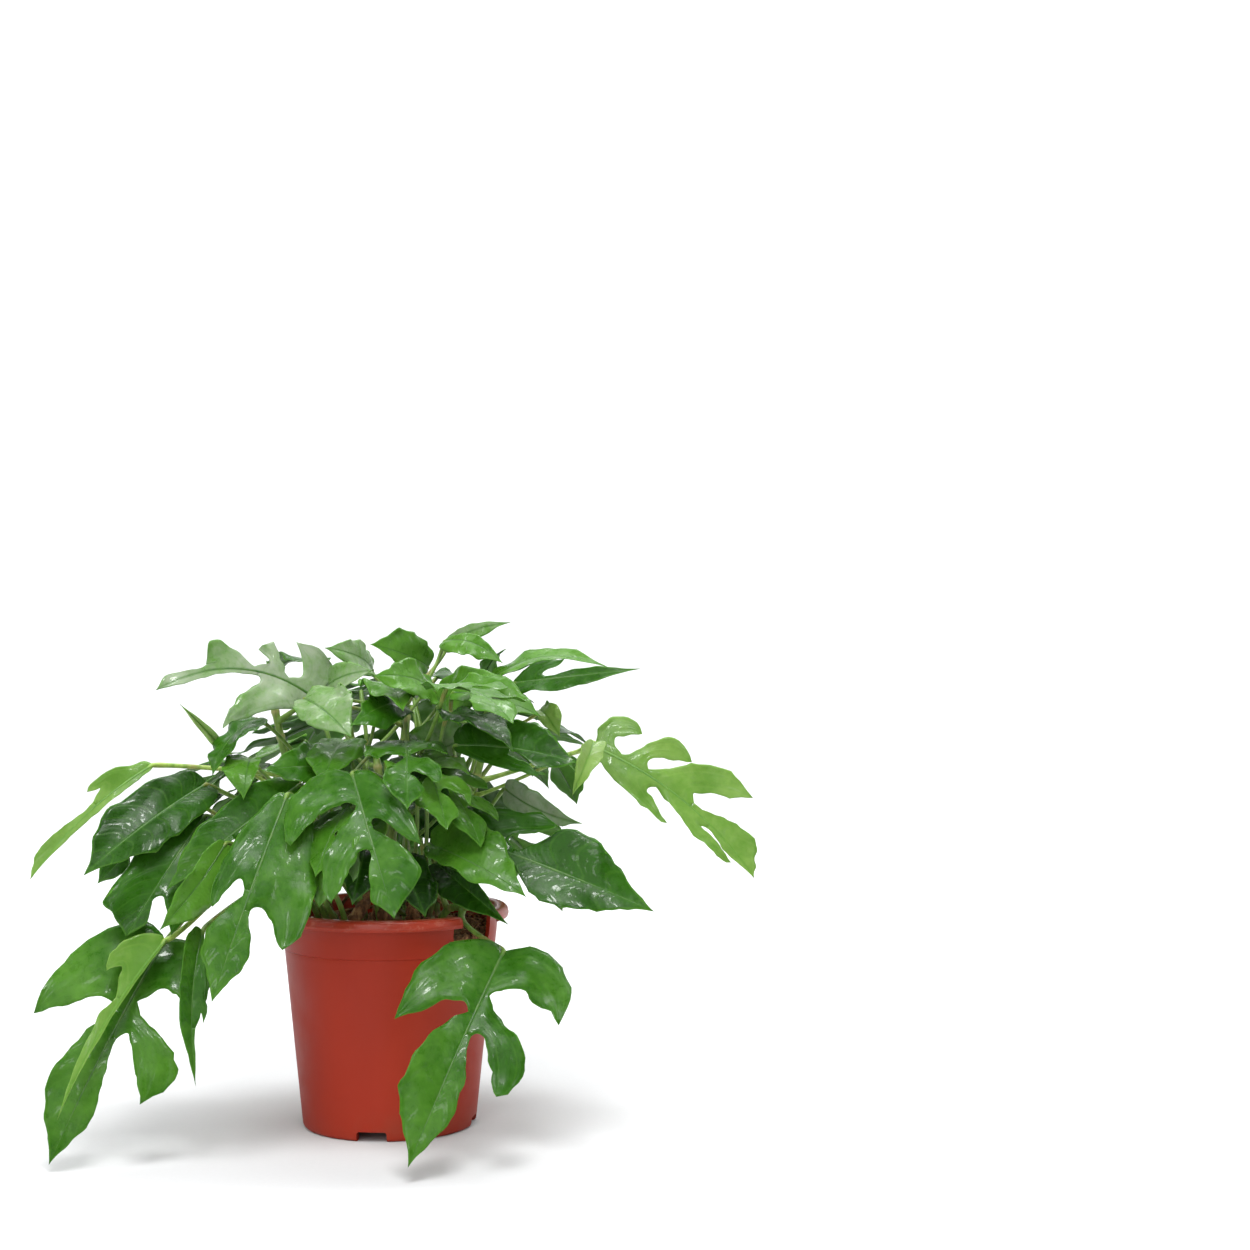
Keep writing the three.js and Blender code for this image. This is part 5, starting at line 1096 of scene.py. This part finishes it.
def makeBlade(name, shade):
    # living aroid leaf: deep green and waxy above, with a wet-looking gloss that breaks up in patches along the
    # veins; duller and paler below; pale midrib groove, thin pale margin, and light glowing through the thin blade
    f = leafFinish
    material, shader, add, place = newMaterial(name)
    phase, below, ribX, edgeIn, ownToneAndSheen = (
        add("Attribute", output="Fac", attribute_name=layer)
        for layer in ("veinPhase", "under", "ribX", "edgeIn", "toneAndSheen"))
    blotch = add("TexNoise", {"Vector": place, "Scale": perMetre / f["blotch"], "Detail": 3.0})
    fine = add("TexNoise", {"Vector": place, "Scale": perMetre / f["fine"], "Detail": 3.0, "Roughness": 0.6})
    toneAndSheen = add("Math", {0: blotch, 1: f["blotchTint"], 2: ownToneAndSheen}, **timesPlus)
    toneAndSheen = add("Math", {0: fine, 1: f["fineTint"], 2: toneAndSheen}, **timesPlus)
    toneAndSheen = add("Math", {0: toneAndSheen, 1: (f["blotchTint"] + f["fineTint"]) / 2}, use_clamp=True, **minus)
    # the ramp runs from deep to fresh green and ends in a pale grey-green that is painted sheen
    colour = add("ValToRGB", {"Fac": toneAndSheen}, stops=list(zip(f["toneAndSheenStops"], shade["top"])))
    turn = add("Math", {0: phase, 1: 2 * np.pi}, **times)
    wave = add("Math", {0: turn}, operation="COSINE")
    vein = add("MapRange", {"Value": wave, "From Min": 0.9, "From Max": 0.995, "To Max": f["veinTint"]}, **smooth)
    light = toLinear(shade["top"][2])
    colour = add("Mix", {0: vein, 6: colour, 7: light}, **blended)
    groove = add("MapRange", {"Value": ribX, "From Min": f["groove"][0], "From Max": f["groove"][1],
                              "To Max": f["ribTint"]}, **smooth)
    colour = add("Mix", {0: groove, 6: colour, 7: toLinear(shade["rib"])}, **blended)
    rim = add("MapRange", {"Value": edgeIn, "From Min": f["pale"][0], "From Max": f["pale"][1],
                           "To Max": f["rimHighlightTint"]}, **smooth)
    upper = add("Mix", {0: rim, 6: colour, 7: light}, **blended)
    lower = add("ValToRGB", {"Fac": fine}, stops=[(0.3, shade["under"]), (0.7, shade["rib"])])
    lower = add("Mix", {0: f["underTint"], 6: lower, 7: toLinear(shade["under"])}, **blended)
    colour = add("Mix", {0: below, 6: upper, 7: lower}, **blended)
    waxy, dull = (shade["gloss"] + spread for spread in f["glossSpread"])
    wax = add("MapRange", {"Value": fine, "From Min": 0.3, "From Max": 0.7, "To Min": waxy, "To Max": dull}, **smooth)
    rough = add("Math", {0: below, 1: f["underDull"], 2: wax}, use_clamp=True, **timesPlus)
    across = add("Math", {0: ribX, 1: f["streakAcross"]}, **times)
    along = add("Math", {0: phase, 1: f["streakAlong"]}, **times)
    apart = add("Math", {0: ownToneAndSheen, 1: f["leafApart"]}, **times)
    flow = add("CombineXYZ", {"X": across, "Y": along, "Z": apart})
    streak = add("TexNoise", {"Vector": flow, "Scale": f["streaks"], "Detail": 6.0, "Roughness": 0.68})
    wet = add("MapRange", {"Value": streak, "From Min": f["wet"][0], "From Max": f["wet"][1],
                           "To Max": f["coat"]}, **smooth)
    above = add("Math", {0: 1.0, 1: below}, **minus)
    coat = add("Math", {0: wet, 1: above}, **times)
    away = add("MapRange", {"Value": ribX, "From Min": f["combClear"][0], "From Max": f["combClear"][1]}, **smooth)
    comb = add("Math", {0: phase, 1: f["combLines"]}, **times)
    comb = add("Math", {0: comb}, operation="SINE")
    comb = add("Math", {0: comb, 1: away}, **times)
    dimple = add("TexNoise", {"Vector": place, "Scale": perMetre / f["dimple"]})
    normal = add("Bump", {"Height": fine, "Distance": f["fineDepth"], "Strength": 0.5})
    normal = add("Bump", {"Height": dimple, "Distance": f["dimpleDepth"], "Strength": 0.5, "Normal": normal})
    normal = add("Bump", {"Height": comb, "Distance": f["combDepth"], "Strength": 0.25, "Normal": normal})
    feed(shader, {
        "Base Color": colour, "Roughness": rough, "Normal": normal, "IOR": f["ior"],
        "Specular IOR Level": f["specular"], "Coat Weight": coat, "Coat Normal": normal,
        "Coat Roughness": f["coatRoughness"], "Subsurface Weight": f["bladeGlow"],
        "Subsurface Scale": f["glowDepth"], "Subsurface Radius": f["glow"]})
    return material


def makePetiole(name, shade):
    # fleshy leaf stalk: smooth, waxy, yellow-green with tan flecks, the blade's green where it becomes the midrib
    f = leafFinish
    light, mid, dark = shade["stalk"]
    material, shader, add, place = newMaterial(name)
    onBlade = add("Attribute", output="Fac", attribute_name="onBlade")
    lengthwise = add("Mapping", {"Vector": place, "Scale": (1, 1, 0.3)})
    grain = add("TexNoise", {"Vector": lengthwise, "Scale": perMetre / f["grain"], "Detail": 3.0,
                             "Roughness": 0.55})
    stalk = add("ValToRGB", {"Fac": grain}, stops=[(0.25, mid), (0.6, light), (0.95, f["stalkPale"])])
    fleck = add("TexNoise", {"Vector": place, "Scale": perMetre / f["fleck"], "Detail": 3.0})
    tan = add("MapRange", {"Value": fleck, "From Min": 0.52, "From Max": 0.7, "To Max": f["tanTint"]}, **smooth)
    stalk = add("Mix", {0: tan, 6: stalk, 7: toLinear(f["stalkTan"])}, **blended)
    blade = add("ValToRGB", {"Fac": grain}, stops=[(0.3, dark), (0.7, mid)])
    colour = add("Mix", {0: onBlade, 6: stalk, 7: blade}, **blended)
    normal = add("Bump", {"Height": grain, "Distance": f["stalkDepth"], "Strength": 0.6})
    feed(shader, {
        "Base Color": colour, "Roughness": f["stalkRoughness"], "Normal": normal, "IOR": f["ior"],
        "Subsurface Weight": f["stalkGlow"], "Subsurface Scale": f["glowDepth"], "Subsurface Radius": f["glow"]})
    return material


matureBlade = makeBlade("waxy mature leaf", leafFinish["mature"])
youngBlade = makeBlade("soft young leaf", leafFinish["young"])
maturePetiole = makePetiole("fleshy leaf stalk", leafFinish["mature"])
youngPetiole = makePetiole("fleshy young leaf stalk", leafFinish["young"])
pick = np.random.default_rng(40)  # tones of the leaves that the tone table leaves out
for leafNumber, (leafName, leafRow) in enumerate(leafTable.items()):
    pair = [youngBlade, youngPetiole] if leafName in youngLeaves else [matureBlade, maturePetiole]
    leafStem, leafAt = leafRow["stem"]
    # a high tone leads into the painted sheen at the ramp's palest stop
    leafToneAndSheen = toneAndSheenOf.get(leafName, pick.uniform(0.3, 0.7))
    makeLeaf("leaf_" + leafName, leafRow, leafNumber, stemTable[leafStem], leafAt, leafToneAndSheen, pair, "leaf_" + leafName)
print("leaves made:", len(leafTable))


def makeShoot(name, radius, route, rows, first):
    # a branch with its leaves, which all stand for one CAD node
    node = "shoot_" + name
    makeStem(node, radius, route, stemSkin, node)
    top = route[-1][2] - shoot["soilTop"]
    for i, (blade, height, turn, reach, length, droop) in enumerate(rows):
        at = float(np.clip((height - shoot["climb"] - shoot["soilTop"]) / top, shoot["lowest"], shoot["highest"]))
        root = routePoint(route, at)[0]
        turn, droop = np.radians(turn), np.radians(droop)
        out = np.array([np.cos(turn), np.sin(turn), 0])
        base = np.array([root[0], root[1], height]) + out * reach
        tip = base + out * length * np.cos(droop) - [0, 0, length * np.sin(droop)]
        row = bladeRow(name, at, base, tip, [0, 0, 10], **shootBlades[blade])
        makeLeaf(f"{node}_leaf_{i + 1}", row, first + i, (radius, route), at, pick.uniform(0.15, 0.7),
                 [matureBlade, maturePetiole], node)


for shootNumber, (shootName, (shootRadius, shootRoute, shootRows)) in enumerate(shootTable.items()):
    makeShoot(shootName, shootRadius, shootRoute, shootRows, shoot["numberFrom"] + shoot["numberStep"] * shootNumber)
print("shoots made:", len(shootTable))


# stalks, old wood and aerial roots at the foot of the plant

foot = {
    "stalk": 1.35, "wood": 3.4, "root": 1.1, "thickFoot": 1.1, "taper": 0.3, "sides": 12, "stations": 40,
    "roots": 18, "rootSpread": 43.0, "rootFrom": (0.12, 0.5), "rootEnd": 99.0, "rootHang": 3.0, "seed": 17,
}

# old climbing stem: brown papery bark, dull, ringed and split lengthwise
paperyLook = {
    "grain": (2.381, 4.0, 0.65, (1, 1, 0.25)), "patch": (3.333, 2.0, 0.5, (0.2, 0.2, 1)),
    "colours": [(0.3, "#4a2f1c"), (0.5, "#7c5534"), (0.72, "#b08a5e")], "tint": "#3a2413", "tinted": (0.5, 0.7, 0.6),
    "relief": [(1, 0.0006, 1.0), (0, 0.0008, 1.0)], "roughness": 0.8, "specular": 0.3,
}

# from the soil to the underside of a blade
stalkRoutes = [
    [[-24, -30, 100], [-31, -36, 116], [-42, -44, 140], [-48, -52, 166]],
    [[-28, -24, 100], [-36, -30, 118], [-46, -34, 144], [-50, -34, 168]],
    [[-20, -34, 100], [-25, -42, 118], [-36, -52, 138], [-46, -56, 160]],
    [[-32, -18, 100], [-42, -24, 120], [-60, -34, 140], [-76, -54, 146]],
    [[-14, -28, 100], [-15, -36, 124], [-17, -48, 150], [-18, -57, 178]],
    [[-4, -24, 100], [-8, -32, 122], [-14, -42, 148], [-18, -54, 176]],
]
woodRoutes = [
    [[-20, -36, 99], [-18, -36, 107], [-14, -34, 113], [-11, -30, 119], [-9, -22, 128]],
    [[0, -26, 99], [-3, -28, 110], [-1, -24, 120], [4, -18, 128]],
    [[14, -22, 99], [11, -20, 108], [12, -14, 118]],
]


def rootRoutes():
    # aerial roots: each leaves a stem part of the way up, hangs out a little and goes into the soil
    random = np.random.default_rng(foot["seed"])
    stemRoutes = [route for radius, route in stemTable.values()]
    routes = []
    for number in range(foot["roots"]):
        top = routePoint(stemRoutes[number % len(stemRoutes)], random.uniform(*foot["rootFrom"]))[0]
        turn = np.arctan2(top[1], top[0]) + random.normal(0, 0.7)
        out = np.array([np.cos(turn), np.sin(turn)])
        reach = min(np.hypot(top[0], top[1]) * random.uniform(0.6, 1.1) + 6, foot["rootSpread"])
        end = np.array([*(reach * out), foot["rootEnd"]])
        hang = top * 0.5 + end * 0.5 + [*(foot["rootHang"] * out), 2]
        routes.append([end, end * 0.7 + hang * 0.3 + [0, 0, 2], hang, top])
    return routes


def makeTubes(name, routes, radius, material, roughness):
    # several tubes in one mesh, each a little uneven and thinner towards its top
    points, faces = [], []
    for i, route in enumerate(routes):
        t = np.linspace(0, 1, foot["stations"])
        uneven = 1 + roughness * waves(t[:, None] * 12, 30 + i, 1.0, 4.0, 12)
        width = radius * (foot["thickFoot"] - foot["taper"] * t) * uneven
        tube, tubeFaces = sweep(routePoint(route, t), width, foot["sides"])
        faces += [[v + sum(len(p) for p in points) for v in face] for face in tubeFaces]
        points.append(tube)
    piece = addMesh(name, np.concatenate(points) * mm, faces, [material])
    setAttribute(piece.data, "onBlade", np.zeros(len(piece.data.vertices)))
    finishPiece(piece)


makeTubes("footStalks", stalkRoutes, foot["stalk"], maturePetiole, 0.03)
paperyBark = makeEarthy("old papery bark", paperyLook)
makeTubes("oldWood", woodRoutes, foot["wood"], paperyBark, 0.09)
makeTubes("aerialRoots", rootRoutes(), foot["root"], paperyBark, 0.06)
print("foot of the plant made")
